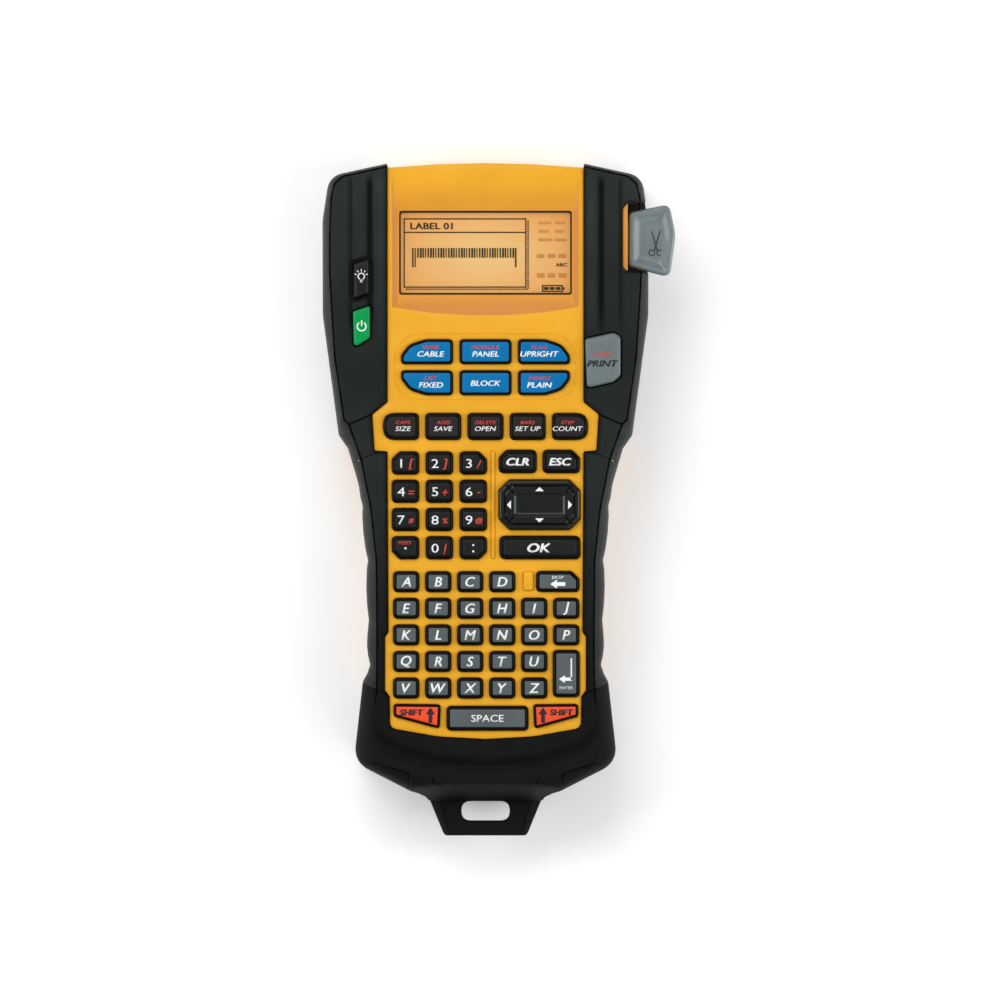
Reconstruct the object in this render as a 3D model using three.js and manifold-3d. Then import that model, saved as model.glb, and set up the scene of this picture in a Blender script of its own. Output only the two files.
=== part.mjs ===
// Handheld industrial label maker, lying on its back.
// Millimetres. +Z is out of the keypad, +Y runs towards the label exit, and +X is the cutter lever's side.
// The origin is on the flat back of the head, on the centre line, where the label maker rests.
import * as THREE from "three";
import { mergeVertices } from "three/addons/utils/BufferGeometryUtils.js";
import Module from "manifold-3d";

const wasm = await Module();
wasm.setup();

// ---------------------------------------------------------------- driving dimensions
const TOP = 102.8; // crown of the head
const CASE_END = -143; // lower end of the case, inside the bumper
const BOTTOM = -166.8; // tip of the lanyard loop
const FACE_Z = 54; // front of the yellow plate
const GUARD_Z = 55.2; // front of the rubber guards
const FLANGE_Z = 51.6; // case front under the guards
const PARTING_Z = 38; // joint between front cover and rear housing
const GRIP_BACK_Z = 13; // back of the grip, raised for the fingers
const WALL = 2.4;
const GUARD = 3;
const GAP = 0.3; // between parts that touch
const KEY_GAP = 0.45; // round each key
const RUN = 0.08; // radial running clearance
const KEY_TRAVEL = 1.2;
const MAT_TOP_Z = 47.8;
const BOARD_Z = 44;
const ROUND = 16; // sides of a small cylinder
const CURVE = 2; // steps in a rounded corner

// ---------------------------------------------------------------- colours
const YELLOW = { color: 0xf0ae22, roughness: 0.45, metalness: 0 };
const RUBBER = { color: 0x232825, roughness: 0.8, metalness: 0 };
const BLACK = { color: 0x1c1e1e, roughness: 0.5, metalness: 0 };
const GREY = { color: 0x717c80, roughness: 0.5, metalness: 0 };
const BLUE = { color: 0x0a6cb4, roughness: 0.4, metalness: 0 };
const RED = { color: 0xf2502a, roughness: 0.45, metalness: 0 };
const GREEN = { color: 0x0ba14b, roughness: 0.45, metalness: 0 };
const IVORY = { color: 0xe4e1d6, roughness: 0.5, metalness: 0 };
const STEEL = { color: 0xb8bcc0, roughness: 0.3, metalness: 1 };
const BRASS = { color: 0xc9a54a, roughness: 0.35, metalness: 1 };
const BOARD = { color: 0x1c6b3c, roughness: 0.5, metalness: 0 };
const AMBER = { color: 0xf2a95c, roughness: 0.2, metalness: 0 };

// ---------------------------------------------------------------- shape helpers
function solidFrom(geometry) {
  const bare = geometry.index ? geometry.toNonIndexed() : geometry.clone();
  bare.deleteAttribute("normal");
  bare.deleteAttribute("uv");
  const merged = mergeVertices(bare, 1e-4);
  const mesh = new wasm.Mesh({
    numProp: 3,
    vertProperties: merged.attributes.position.array,
    triVerts: new Uint32Array(merged.index.array),
  });
  return new wasm.Manifold(mesh);
}

function geometryFrom(solid) {
  const mesh = solid.getMesh();
  const geometry = new THREE.BufferGeometry();
  geometry.setAttribute("position", new THREE.BufferAttribute(mesh.vertProperties, 3));
  geometry.setIndex(new THREE.BufferAttribute(mesh.triVerts, 1));
  geometry.computeVertexNormals();
  return geometry;
}

// Joins every solid in the list.
function joined(...solids) {
  return solids.reduce((whole, piece) => whole.add(piece));
}

// Cuts every later solid from the first.
function cut(whole, ...tools) {
  return tools.reduce((left, tool) => left.subtract(tool), whole);
}

// A shape from [x, y, radius] corners, each rounded by its radius.
function shapeOf(corners) {
  const shape = new THREE.Shape();
  const count = corners.length;
  corners.forEach(([x, y, radius = 0], i) => {
    const here = new THREE.Vector2(x, y);
    const toward = (other) => new THREE.Vector2(other[0], other[1]).sub(here);
    const back = toward(corners[(i + count - 1) % count]);
    const on = toward(corners[(i + 1) % count]);
    const half = Math.abs(Math.acos(back.dot(on) / back.length() / on.length())) / 2;
    const reach = Math.min(radius / Math.tan(half), back.length() / 2.1, on.length() / 2.1);
    const start = back.setLength(reach || 1).multiplyScalar(reach ? 1 : 0).add(here);
    const end = on.setLength(reach || 1).multiplyScalar(reach ? 1 : 0).add(here);
    if (i) shape.lineTo(start.x, start.y);
    else shape.moveTo(start.x, start.y);
    if (reach > 0.05) shape.quadraticCurveTo(x, y, end.x, end.y);
  });
  return shape;
}

// An outline stood up along Z.
function prism(corners, low, high, steps = CURVE) {
  const options = { depth: high - low, bevelEnabled: false, curveSegments: steps };
  return solidFrom(new THREE.ExtrudeGeometry(shapeOf(corners), options).translate(0, 0, low));
}

// An outline in [y, z], run along X.
function sideways(corners, left, right) {
  const options = { depth: right - left, bevelEnabled: false, curveSegments: CURVE };
  const geometry = new THREE.ExtrudeGeometry(shapeOf(corners), options);
  const turn = new THREE.Matrix4().set(0, 0, 1, left, 1, 0, 0, 0, 0, 1, 0, 0, 0, 0, 0, 1);
  return solidFrom(geometry.applyMatrix4(turn));
}

function box(x0, x1, y0, y1, z0, z1) {
  const geometry = new THREE.BoxGeometry(x1 - x0, y1 - y0, z1 - z0);
  return solidFrom(geometry.translate((x0 + x1) / 2, (y0 + y1) / 2, (z0 + z1) / 2));
}

// A round bar along Z.
function post(x, y, radius, low, high, sides = ROUND) {
  const geometry = new THREE.CylinderGeometry(radius, radius, high - low, sides);
  return solidFrom(geometry.rotateX(Math.PI / 2).translate(x, y, (low + high) / 2));
}

// A round bar along Y.
function rod(x, z, radius, low, high, sides = ROUND) {
  const geometry = new THREE.CylinderGeometry(radius, radius, high - low, sides);
  return solidFrom(geometry.translate(x, (low + high) / 2, z));
}

// A half outline down the right side, with its mirror image up the left.
function mirrored(half) {
  const left = half.filter(([x]) => x > 0).map(([x, y, radius]) => [-x, y, radius]);
  return [...half, ...left.reverse()];
}

// A clockwise outline moved inwards by a distance.
function inset(corners, distance) {
  const count = corners.length;
  const normal = (from, to) => {
    const along = new THREE.Vector2(to[0] - from[0], to[1] - from[1]).normalize();
    return new THREE.Vector2(along.y, -along.x);
  };
  return corners.map((corner, i) => {
    const before = normal(corners[(i + count - 1) % count], corner);
    const after = normal(corner, corners[(i + 1) % count]);
    const shift = before.clone().add(after).multiplyScalar(distance / (1 + before.dot(after)));
    const radius = corner[2] ? Math.max(corner[2] - distance, 0.3) : 0;
    return [corner[0] + shift.x, corner[1] + shift.y, radius];
  });
}

// A clockwise rectangle with one radius.
function rectangle(x, y, width, height, radius) {
  const [w, h] = [width / 2, height / 2];
  return [
    [x - w, y + h, radius],
    [x + w, y + h, radius],
    [x + w, y - h, radius],
    [x - w, y - h, radius],
  ];
}

// ---------------------------------------------------------------- outlines, clockwise from the top
const SILHOUETTE = mirrored([
  [39.6, 102.6, 0.8],
  [62.6, 97.6, 8],
  [65.3, 80, 18],
  [65.2, 42, 30],
  [58.8, -6, 3],
  [55, -11.5, 2],
  [50.8, -26, 12],
  [47.9, -56, 20],
  [47.4, -98, 6],
  [49.2, -105, 4],
  [52.8, -137, 10],
  [22.4, -152.6, 3],
  [16.6, -166.8, 2.2],
]);

const PLATE = mirrored([
  [0, TOP, 0],
  [20, 102.3, 60],
  [39.2, 100.9, 0.6],
  [39.2, 7.2, 1.5],
  [45.3, 2.2, 1.5],
  [44.4, -12.2, 0.8],
  [39.2, -12.6, 0.6],
  [38.8, -84.8, 0.5],
  [40.2, -86.8, 0.5],
  [40.2, -108.2, 0.8],
  [38.3, -110.6, 0.5],
  [38.2, -123.2, 3],
  [19, -126.6, 60],
  [0, -127.6, 0],
]);

// The side view: the flat back of the head, the raised back of the grip and the heel of the bumper.
const HEEL_END = -148;
const TAB_BACK_Z = 20;
const TAB_FRONT_Z = 33;
const SIDE_VIEW = [
  [TOP + 5, 0, 0],
  [TOP + 5, 60, 0],
  [-146, 60, 0],
  [-152.5, TAB_FRONT_Z, 0],
  [BOTTOM - 5, TAB_FRONT_Z, 0],
  [BOTTOM - 5, TAB_BACK_Z, 0],
  [HEEL_END - 4, TAB_BACK_Z, 0],
  [HEEL_END, 0, 3],
  [-122, 0, 3],
  [-109, GRIP_BACK_Z, 5],
  [-15, GRIP_BACK_Z, 6],
  [-2, 0, 3],
];

const CASE = inset(SILHOUETTE, GUARD);
const CASE_CAVITY = inset(CASE, WALL);
const CROWN = mirrored([
  [0, TOP, 0],
  [20, 102.3, 60],
  [39.2, 100.9, 0.4],
  [39.2, 80, 0],
]);

// The case from low to high, with its ends cut square inside the bumper.
function caseBlock(outline, low, high, end) {
  return prism(outline, low, high).intersect(box(-80, 80, end, TOP + 5, low - 1, high + 1));
}

// ---------------------------------------------------------------- keys
// Each key is an outline; the caps stand KEY_RISE over the plate.
const LETTERS = { rows: [4, 6, 6, 5, 5], x: -31.7, y: -64.7, pitchX: 12.8, pitchY: 10.63, width: 9.9, height: 7.9 };
const NUMBERS = { rows: [3, 3, 3, 3], x: -32, y: -17.2, pitchX: 13.55, pitchY: 11.3, width: 10.4, height: 8.8 };
const KEY_TOP_Z = 56.4;
const KEY_RADIUS = 1.8;
const CORNER_CUT = 3; // off one corner of each key at a corner of its group

function gridKeys(grid) {
  const keys = [];
  grid.rows.forEach((count, row) => {
    for (let column = 0; column < count; column++) {
      const x = grid.x + column * grid.pitchX;
      const y = grid.y - row * grid.pitchY;
      keys.push(rectangle(x, y, grid.width, grid.height, KEY_RADIUS));
    }
  });
  return keys;
}

// The outline with a straight cut in place of one corner.
function withoutCorner(outline, corner) {
  const [x, y] = outline[corner];
  const cutPoint = ([toX, toY]) => [x + Math.sign(toX - x) * CORNER_CUT, y + Math.sign(toY - y) * CORNER_CUT, 1.2];
  const before = outline[(corner + 3) % 4];
  const after = outline[(corner + 1) % 4];
  return outline.toSpliced(corner, 1, cutPoint(before), cutPoint(after));
}

function numberKeys() {
  const keys = gridKeys(NUMBERS);
  const lastRow = 3 * (NUMBERS.rows.length - 1);
  keys[0] = withoutCorner(keys[0], 0);
  keys[2] = withoutCorner(keys[2], 1);
  keys[lastRow + 2] = withoutCorner(keys[lastRow + 2], 2);
  keys[lastRow] = withoutCorner(keys[lastRow], 3);
  return keys;
}

const MAT_KEYS = [...gridKeys(LETTERS), ...numberKeys()];

const HOT_KEY = { pitch: 23.4, width: 20.2, height: 9.5, upper: 27.3, lower: 14.9 };
const FUNCTION_KEY = { pitch: 16.9, y: -2.6, width: 13.8, height: 10.3 };

function hotKey(column, row) {
  const x = (column - 1) * HOT_KEY.pitch;
  const y = row ? HOT_KEY.lower : HOT_KEY.upper;
  const key = rectangle(x, y, HOT_KEY.width, HOT_KEY.height, 1.6);
  const swept = { "0,0": 0, "2,0": 1, "2,1": 2, "0,1": 3 }[`${column},${row}`];
  if (swept === undefined) return key;
  // The outer corner of each outer key is one long curve.
  const [cornerX, cornerY] = key[swept];
  const [inward, along] = [column ? -1 : 1, row ? 1 : -1];
  const sweep = [
    [cornerX, cornerY + along * 6.3, 3],
    [cornerX + inward * 3.2, cornerY + along * 2.1, 6],
    [cornerX + inward * 9.6, cornerY, 8],
  ];
  return key.toSpliced(swept, 1, ...(column === row * 2 ? sweep : sweep.reverse()));
}

function functionKey(column) {
  const x = (column - 2) * FUNCTION_KEY.pitch;
  const key = rectangle(x, FUNCTION_KEY.y, FUNCTION_KEY.width, FUNCTION_KEY.height, 1.8);
  if (column === 0) [key[0][2], key[3][2]] = [4.6, 4.6];
  if (column === 4) [key[1][2], key[2][2]] = [4.6, 4.6];
  return key;
}

function chamfered(x, y, width, height, corner) {
  const [w, h] = [width / 2, height / 2];
  return [
    [x - w + corner, y + h, 1],
    [x + w - corner, y + h, 1],
    [x + w, y + h - corner, 1],
    [x + w, y - h + corner, 1],
    [x + w - corner, y - h, 1],
    [x - w + corner, y - h, 1],
    [x - w, y - h + corner, 1],
    [x - w, y + h - corner, 1],
  ];
}

const NAV = { x: 21.6, y: -33.9, width: 32.2, height: 19.8, corner: 4.2 };
const FACE_KEYS = {
  clear_key: { outline: withoutCorner(rectangle(12.9, -16.6, 14.6, 8.9, 2), 0), look: BLACK },
  escape_key: { outline: withoutCorner(rectangle(30.3, -16.6, 14.4, 8.9, 2), 1), look: BLACK },
  ok_key: { outline: rectangle(21.8, -51, 31.8, 8.9, 2.2), look: BLACK },
  backspace_key: { outline: withoutCorner(rectangle(28.9, -64.6, 16.8, 7.9, 1.8), 1), look: GREY },
  enter_key: { outline: rectangle(32.3, -101.4, 10.2, 18.4, 1.8), look: GREY },
  space_key: { outline: rectangle(0.8, -119.3, 32.2, 9.4, 1.8), look: GREY },
  shift_key_left: {
    outline: [[-36.4, -113.8, 1], [-18.2, -114, 1], [-18.6, -123.2, 1], [-36.4, -118.4, 1]],
    look: RED,
  },
  shift_key_right: {
    outline: [[19.4, -114, 1], [36.8, -113.8, 1], [36.8, -118.4, 1], [19.8, -123.2, 1]],
    look: RED,
  },
};
for (let i = 0; i < 6; i++) {
  FACE_KEYS[`hot_key_${i + 1}`] = { outline: hotKey(i % 3, Math.floor(i / 3)), look: BLUE };
}
for (let i = 0; i < 5; i++) {
  FACE_KEYS[`function_key_${i + 1}`] = { outline: functionKey(i), look: BLACK };
}

// Keys that come up through the rubber guards beside the plate.
const GUARD_KEYS = {
  power_key: {
    outline: [[-53, 43.4, 0.8], [-46.2, 45.7, 0.8], [-46.2, 32.9, 1.5], [-52.6, 28.8, 1.5]],
    look: GREEN,
  },
  backlight_key: {
    outline: [[-52.7, 62.6, 0.6], [-46.6, 64.6, 0.6], [-46.6, 50.6, 0.6], [-52.7, 48.4, 0.6]],
    look: BLACK,
  },
  print_key: {
    outline: [[39.8, 32.4, 1.4], [51.6, 35, 3], [54, 33, 2], [54, 17.6, 3], [51, 15.2, 2], [40.6, 12.8, 1.6]],
    look: GREY,
  },
};
const GUARD_KEY_TOP_Z = 57.2;
const FLANGE = { grow: 0.9, back: 49.4, front: 50.6 }; // of a key in the plate
const GUARD_FLANGE = { grow: 1.1, back: 47, front: 48.8 };
const RECESS_Z = 53.8; // floor of the dark recess round the backlight key

// A key cap with a flange that holds it under the plate.
function faceKey(outline) {
  const flange = prism(inset(outline, -FLANGE.grow), FLANGE.back, FLANGE.front);
  const hollow = prism(inset(PLATE, WALL + GAP), FLANGE.back - 1, FLANGE.front + 1);
  return prism(outline, FLANGE.back + 0.2, KEY_TOP_Z).add(flange.intersect(hollow));
}

// A taller key with a flange under the case front, which reaches down to its switch.
function guardKey(outline) {
  const flange = prism(inset(outline, -GUARD_FLANGE.grow), GUARD_FLANGE.back, GUARD_FLANGE.front);
  return prism(outline, GUARD_FLANGE.back + 0.2, GUARD_KEY_TOP_Z).add(flange);
}

function keyHoles() {
  const outlines = [...Object.values(FACE_KEYS).map((key) => key.outline), ...MAT_KEYS, navOutline(0)];
  return outlines.map((outline) => prism(inset(outline, -KEY_GAP), 40, 70));
}

function navOutline(grow) {
  return chamfered(NAV.x, NAV.y, NAV.width + 2 * grow, NAV.height + 2 * grow, NAV.corner);
}

// ---------------------------------------------------------------- print mechanism layout
const TAPE_X = 34; // plane of the label tape on its way out
const PLATEN = { x: TAPE_X + 6.2, y: 66, radius: 6 };
const MODULE = 1; // gear module
const GEAR_Z = [33, 36];
const CHASSIS_Z = [31, 32.4];
const TEETH = { pinion: 12, idler: 20, platen: 16, takeUp: 40 };
const pitchRadius = (teeth) => (teeth * MODULE) / 2;
const IDLER = { x: PLATEN.x, y: PLATEN.y - pitchRadius(TEETH.platen) - pitchRadius(TEETH.idler) };
const MOTOR = { x: PLATEN.x, y: IDLER.y - pitchRadius(TEETH.idler) - pitchRadius(TEETH.pinion) };
const TAKE_UP_Y = 56;
const TAKE_UP_REACH = pitchRadius(TEETH.idler) + pitchRadius(TEETH.takeUp);
const TAKE_UP = { x: IDLER.x - Math.sqrt(TAKE_UP_REACH ** 2 - (TAKE_UP_Y - IDLER.y) ** 2), y: TAKE_UP_Y };
const SUPPLY = { x: 10, y: 28 };
const TAPE_ROLL = { x: -25, y: 45, radius: 22 };
const CASSETTE = { left: -52, right: 27.5, low: 12.5, high: 78, back: 5, front: 30 };
const CHASSIS_POSTS = [[-56, 50], [-56, 76], [50.5, 50], [52.5, 23]];
const JACK = { y: 7, z: 28 };
const LEVER = { x: 46, z: 45, low: 62, high: 83, hub: 3.4, pin: 1.5, crank: 12 };
const POCKET = { x: 56.6, low: 58.8, high: 87.6, floor: 22 };
const CUTTER = { low: 78.5, high: 88, back: 6, front: 34.6 };
const DOOR_HINGE = { x: -50, z: 2.2, barrel: 2, pin: 0.9 };

// ---------------------------------------------------------------- gears
// Flank points of an involute tooth: angle from the tooth's centre line at a radius.
function flankAngle(teeth, radius) {
  const pitch = pitchRadius(teeth);
  const base = pitch * Math.cos(THREE.MathUtils.degToRad(20));
  const involute = (r) => {
    const roll = Math.sqrt(Math.max((r / base) ** 2 - 1, 0));
    return roll - Math.atan(roll);
  };
  const thickness = 0.44; // share of the pitch, which leaves backlash
  return (Math.PI * thickness) / teeth + involute(pitch) - involute(radius);
}

function gear(teeth, phase, x, y, low, high) {
  const pitch = pitchRadius(teeth);
  const radii = [pitch - 1.15 * MODULE, pitch, pitch + 0.85 * MODULE];
  const shape = new THREE.Shape();
  for (let tooth = 0; tooth < teeth; tooth++) {
    const centre = phase + (2 * Math.PI * tooth) / teeth;
    const rising = radii.map((r) => [r, centre - flankAngle(teeth, r)]);
    const falling = radii.map((r) => [r, centre + flankAngle(teeth, r)]).reverse();
    [...rising, ...falling].forEach(([r, angle], i) => {
      const [px, py] = [x + r * Math.cos(angle), y + r * Math.sin(angle)];
      if (tooth || i) shape.lineTo(px, py);
      else shape.moveTo(px, py);
    });
  }
  const options = { depth: high - low, bevelEnabled: false };
  return solidFrom(new THREE.ExtrudeGeometry(shape, options).translate(0, 0, low));
}

// The phase that puts a gap of the second gear where the first gear's tooth meets it.
function meshedPhase(teeth, phase, at, otherTeeth, other) {
  const direction = Math.atan2(other.y - at.y, other.x - at.x);
  const offset = ((direction - phase) * teeth) / (2 * Math.PI);
  return direction + Math.PI - ((0.5 - offset) * 2 * Math.PI) / otherTeeth;
}

const PHASE = { pinion: Math.PI / 2 };
PHASE.idler = meshedPhase(TEETH.pinion, PHASE.pinion, MOTOR, TEETH.idler, IDLER);
PHASE.platen = meshedPhase(TEETH.idler, PHASE.idler, IDLER, TEETH.platen, PLATEN);
PHASE.takeUp = meshedPhase(TEETH.idler, PHASE.idler, IDLER, TEETH.takeUp, TAKE_UP);

// ---------------------------------------------------------------- case
const DOOR = { x0: -50, x1: 46, y0: 8, y1: 86 };
const BATTERY_DOOR = { x0: -33, x1: 33, y0: -106, y1: -20 };

function exitSlot() {
  return box(TAPE_X - 2.6, TAPE_X + 2.6, 88, TOP + 5, 6, 29);
}

function leverPocket(grow) {
  return box(POCKET.x - grow, 90, POCKET.low - grow, POCKET.high + grow, POCKET.floor - grow, 80);
}

function jackHole() {
  return box(-70, -50, JACK.y - 5, JACK.y + 5, JACK.z - 4, JACK.z + 4);
}

// The case without the heel, which is all rubber.
function caseSpace(grow) {
  const whole = caseBlock(inset(CASE, -grow), -2, FLANGE_Z + grow, CASE_END - grow);
  return whole.subtract(box(-80, 80, CASE_END - 5, -107, -5, GRIP_BACK_Z - grow));
}

// The wall between the head and the lever's pocket.
function pocketLining(low, high) {
  const block = box(POCKET.x - 2, 70, POCKET.low - 2, POCKET.high + 2, low, high);
  return block.intersect(caseBlock(CASE, low - 1, high + 1, CASE_END));
}

function frontCover() {
  const shell = cut(
    caseBlock(CASE, PARTING_Z, FLANGE_Z, CASE_END).add(prism(CROWN, PARTING_Z, FLANGE_Z)),
    caseBlock(CASE_CAVITY, PARTING_Z - 1, FLANGE_Z - WALL, CASE_END + WALL),
  );
  const plate = prism(PLATE, FLANGE_Z - WALL, FACE_Z);
  const hollow = prism(inset(PLATE, WALL), FLANGE_Z - WALL - 1, FACE_Z - WALL);
  const belowDisplay = box(-60, 60, -140, 36, 40, 60);
  const displayPan = sideways([[TOP, 54.6, 0], [84, 52, 0], [49.6, 52, 0], [41, 54.6, 0]], -37.6, 37.6);
  const displayHole = joined(box(-34.9, 34.9, 49.8, 84.1, 50, 60), box(-33, 33, 51.6, 82.3, 40, 60));
  const guardKeyHoles = Object.values(GUARD_KEYS).map((key) => prism(inset(key.outline, -KEY_GAP), 40, 70));
  const leverWindow = box(POCKET.x - 4, POCKET.x + 2, LEVER.low + 2, LEVER.high - 2, 41, FLANGE_Z - WALL);
  const divider = box(2.3, 3.7, -55.4, -12.4, FACE_Z - 0.5, FACE_Z + 0.5);
  const tactileBar = prism(rectangle(17.1, -64.4, 3.9, 7.4, 0.8), FACE_Z - 0.5, FACE_Z + 0.8);
  const openings = [
    leverPocket(0),
    leverWindow,
    hollow.intersect(belowDisplay),
    displayPan,
    displayHole,
    ...keyHoles(),
    ...guardKeyHoles,
  ];
  return joined(cut(joined(shell, pocketLining(PARTING_Z, FLANGE_Z), plate), ...openings), divider, tactileBar);
}

function rearHousing() {
  const top = PARTING_Z - 0.05;
  const innerSide = sideways(
    [
      [TOP + 5, WALL, 0],
      [TOP + 5, 60, 0],
      [-150, 60, 0],
      [-150, GRIP_BACK_Z + WALL, 0],
      [-13.8, GRIP_BACK_Z + WALL, 0],
      [-0.8, WALL, 0],
    ],
    -80,
    80,
  );
  const outer = joined(caseSpace(0), prism(CROWN, -1, 60)).intersect(box(-80, 80, -150, TOP + 5, -1, top));
  const body = outer.intersect(sideways(SIDE_VIEW, -80, 80));
  const cavity = caseBlock(CASE_CAVITY, -1, 60, CASE_END + WALL).intersect(innerSide);
  const lugs = [DOOR.y0 + 6, DOOR.y1 - 9.7].map((y) => {
    const eye = rod(DOOR_HINGE.x, DOOR_HINGE.z, DOOR_HINGE.barrel, y, y + 3.7);
    return eye.add(box(-54, DOOR_HINGE.x, y, y + 3.7, 0.6, 4.2));
  });
  const posts = CHASSIS_POSTS.map(([x, y]) => post(x, y, 2.3, 1, CHASSIS_Z[0] - 0.05, 12));
  const doorOpening = box(DOOR.x0 - 2.6, DOOR.x1 + GAP, DOOR.y0 - GAP, DOOR.y1 + GAP, -1, WALL + 1);
  const batteryOpening = box(
    BATTERY_DOOR.x0 - GAP,
    BATTERY_DOOR.x1 + GAP,
    BATTERY_DOOR.y0 - GAP,
    BATTERY_DOOR.y1 + GAP,
    GRIP_BACK_Z - 3,
    GRIP_BACK_Z + WALL + 1,
  );
  const pin = rod(DOOR_HINGE.x, DOOR_HINGE.z, DOOR_HINGE.pin + RUN, 0, 100, 16);
  const shell = cut(body, cavity, doorOpening, batteryOpening);
  const lining = pocketLining(POCKET.floor - 2, top);
  return cut(joined(shell, lining, ...posts, ...lugs), pin, leverPocket(0), exitSlot(), jackHole());
}

// ---------------------------------------------------------------- rubber guards
function guardShell() {
  const outer = prism(SILHOUETTE, -1, GUARD_Z, 5).intersect(sideways(SIDE_VIEW, -80, 80));
  const plateSpace = prism(inset(PLATE, -GAP), GRIP_BACK_Z, 60);
  return cut(outer, caseSpace(GAP), plateSpace, box(-39.5, 39.5, 80, TOP + 5, -2, 60));
}

const GRIP_ZONE = [[30, -12.9], [41, -12.9], [60, -20.2], [60, -101], [38.8, -109.9], [30, -109.9]];

function guardParts() {
  const shell = guardShell();
  const keyHoles = Object.values(GUARD_KEYS).map((key) => prism(inset(key.outline, -0.7), 40, 70));
  const recess = prism(inset(GUARD_KEYS.backlight_key.outline, -1.6), RECESS_Z, 60);
  const zone = (grow, side) => {
    const corners = inset(GRIP_ZONE, grow).map(([x, y]) => [x * side, y, 0]);
    return prism(side > 0 ? corners : corners.reverse(), -5, 70);
  };
  const heel = box(-80, 80, -120, -100, -5, GRIP_BACK_Z);
  const lower = cut(shell, box(-80, 80, -60, TOP + 5, -5, 70), zone(-GAP, 1), zone(-GAP, -1));
  const upper = cut(shell, box(-80, 80, BOTTOM - 5, -60, -5, 70), zone(-GAP, 1), zone(-GAP, -1));
  const right = box(0, 90, BOTTOM - 5, TOP + 5, -5, 70);
  const left = box(-90, 0, BOTTOM - 5, TOP + 5, -5, 70);
  return {
    upper_guard_right: cut(upper.intersect(right), leverPocket(0), ...keyHoles),
    upper_guard_left: cut(upper.intersect(left), jackHole(), recess, ...keyHoles),
    grip_right: shell.intersect(zone(0, 1)).subtract(heel),
    grip_left: shell.intersect(zone(0, -1)).subtract(heel),
    bottom_bumper: cut(lower, lanyardSlot()),
  };
}

function lanyardSlot() {
  return prism(rectangle(0, -157, 19.4, 8, 2), 0, 60);
}

// ---------------------------------------------------------------- doors and battery
function cassetteDoor() {
  const plate = box(DOOR.x0, DOOR.x1, DOOR.y0, DOOR.y1, 0.2, WALL);
  const barrel = rod(DOOR_HINGE.x, DOOR_HINGE.z, DOOR_HINGE.barrel, DOOR.y0 + 10, DOOR.y1 - 10, 16);
  const edge = box(DOOR.x0 - 3, DOOR.x0 + 2.3, DOOR.y0 - 1, DOOR.y0 + 10, -1, 5);
  const farEdge = box(DOOR.x0 - 3, DOOR.x0 + 2.3, DOOR.y1 - 10, DOOR.y1 + 1, -1, 5);
  const bore = rod(DOOR_HINGE.x, DOOR_HINGE.z, DOOR_HINGE.pin + RUN, 0, 100, 16);
  const ribs = [24, 47, 70].map((y) => box(DOOR.x0 + 8, DOOR.x1 - 8, y - 0.8, y + 0.8, 2, 4.2));
  return cut(joined(plate, barrel, ...ribs), edge, farEdge, bore);
}

function batteryDoor() {
  const { x0, x1, y0, y1 } = BATTERY_DOOR;
  const plate = box(x0, x1, y0, y1, GRIP_BACK_Z, GRIP_BACK_Z + WALL);
  const ribs = [];
  for (let y = y0 + 14; y < y1 - 10; y += 9) {
    ribs.push(box(x0 + 8, x1 - 8, y, y + 2, GRIP_BACK_Z - 0.9, GRIP_BACK_Z + 1));
  }
  return joined(plate, ...ribs);
}

function batteryPack() {
  const pack = box(-31, 31, -103, -24, 17, 38);
  const grooves = [-10.4, 10.4].map((x) => box(x - 0.8, x + 0.8, -104, -23, 36.8, 39));
  const contacts = box(-12, 12, -24.4, -22.8, 22, 30);
  return joined(cut(pack, ...grooves), contacts);
}

// ---------------------------------------------------------------- tape cassette
function cassetteShell() {
  const { left, right, low, high, back, front } = CASSETTE;
  const body = prism([[left, high, 5], [right, high, 2], [right, low, 3], [left, low, 5]], back, front);
  const wells = [
    post(TAPE_ROLL.x, TAPE_ROLL.y, TAPE_ROLL.radius + 1, back + 1.4, front + 1, 28),
    post(TAKE_UP.x, TAKE_UP.y, 10, back + 1.4, front + 1),
    post(SUPPLY.x, SUPPLY.y, 11, back + 1.4, front + 1),
    box(TAPE_ROLL.x + 20, right + 6, 64.5, 72, back + 1.4, front + 1),
    box(-12, 8, 40, 50, back + 1.4, front + 1),
  ];
  const hubs = [TAPE_ROLL, TAKE_UP, SUPPLY].map((at) => post(at.x, at.y, 2, back, back + 6));
  return joined(cut(body, ...wells), ...hubs);
}

function spool(at, core, flange, bore, low, high) {
  const drum = joined(
    post(at.x, at.y, core, low, high),
    post(at.x, at.y, flange, low, low + 1.2),
    post(at.x, at.y, flange, high - 1.2, high),
  );
  return drum.subtract(post(at.x, at.y, bore, low - 1, high + 1));
}

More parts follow.
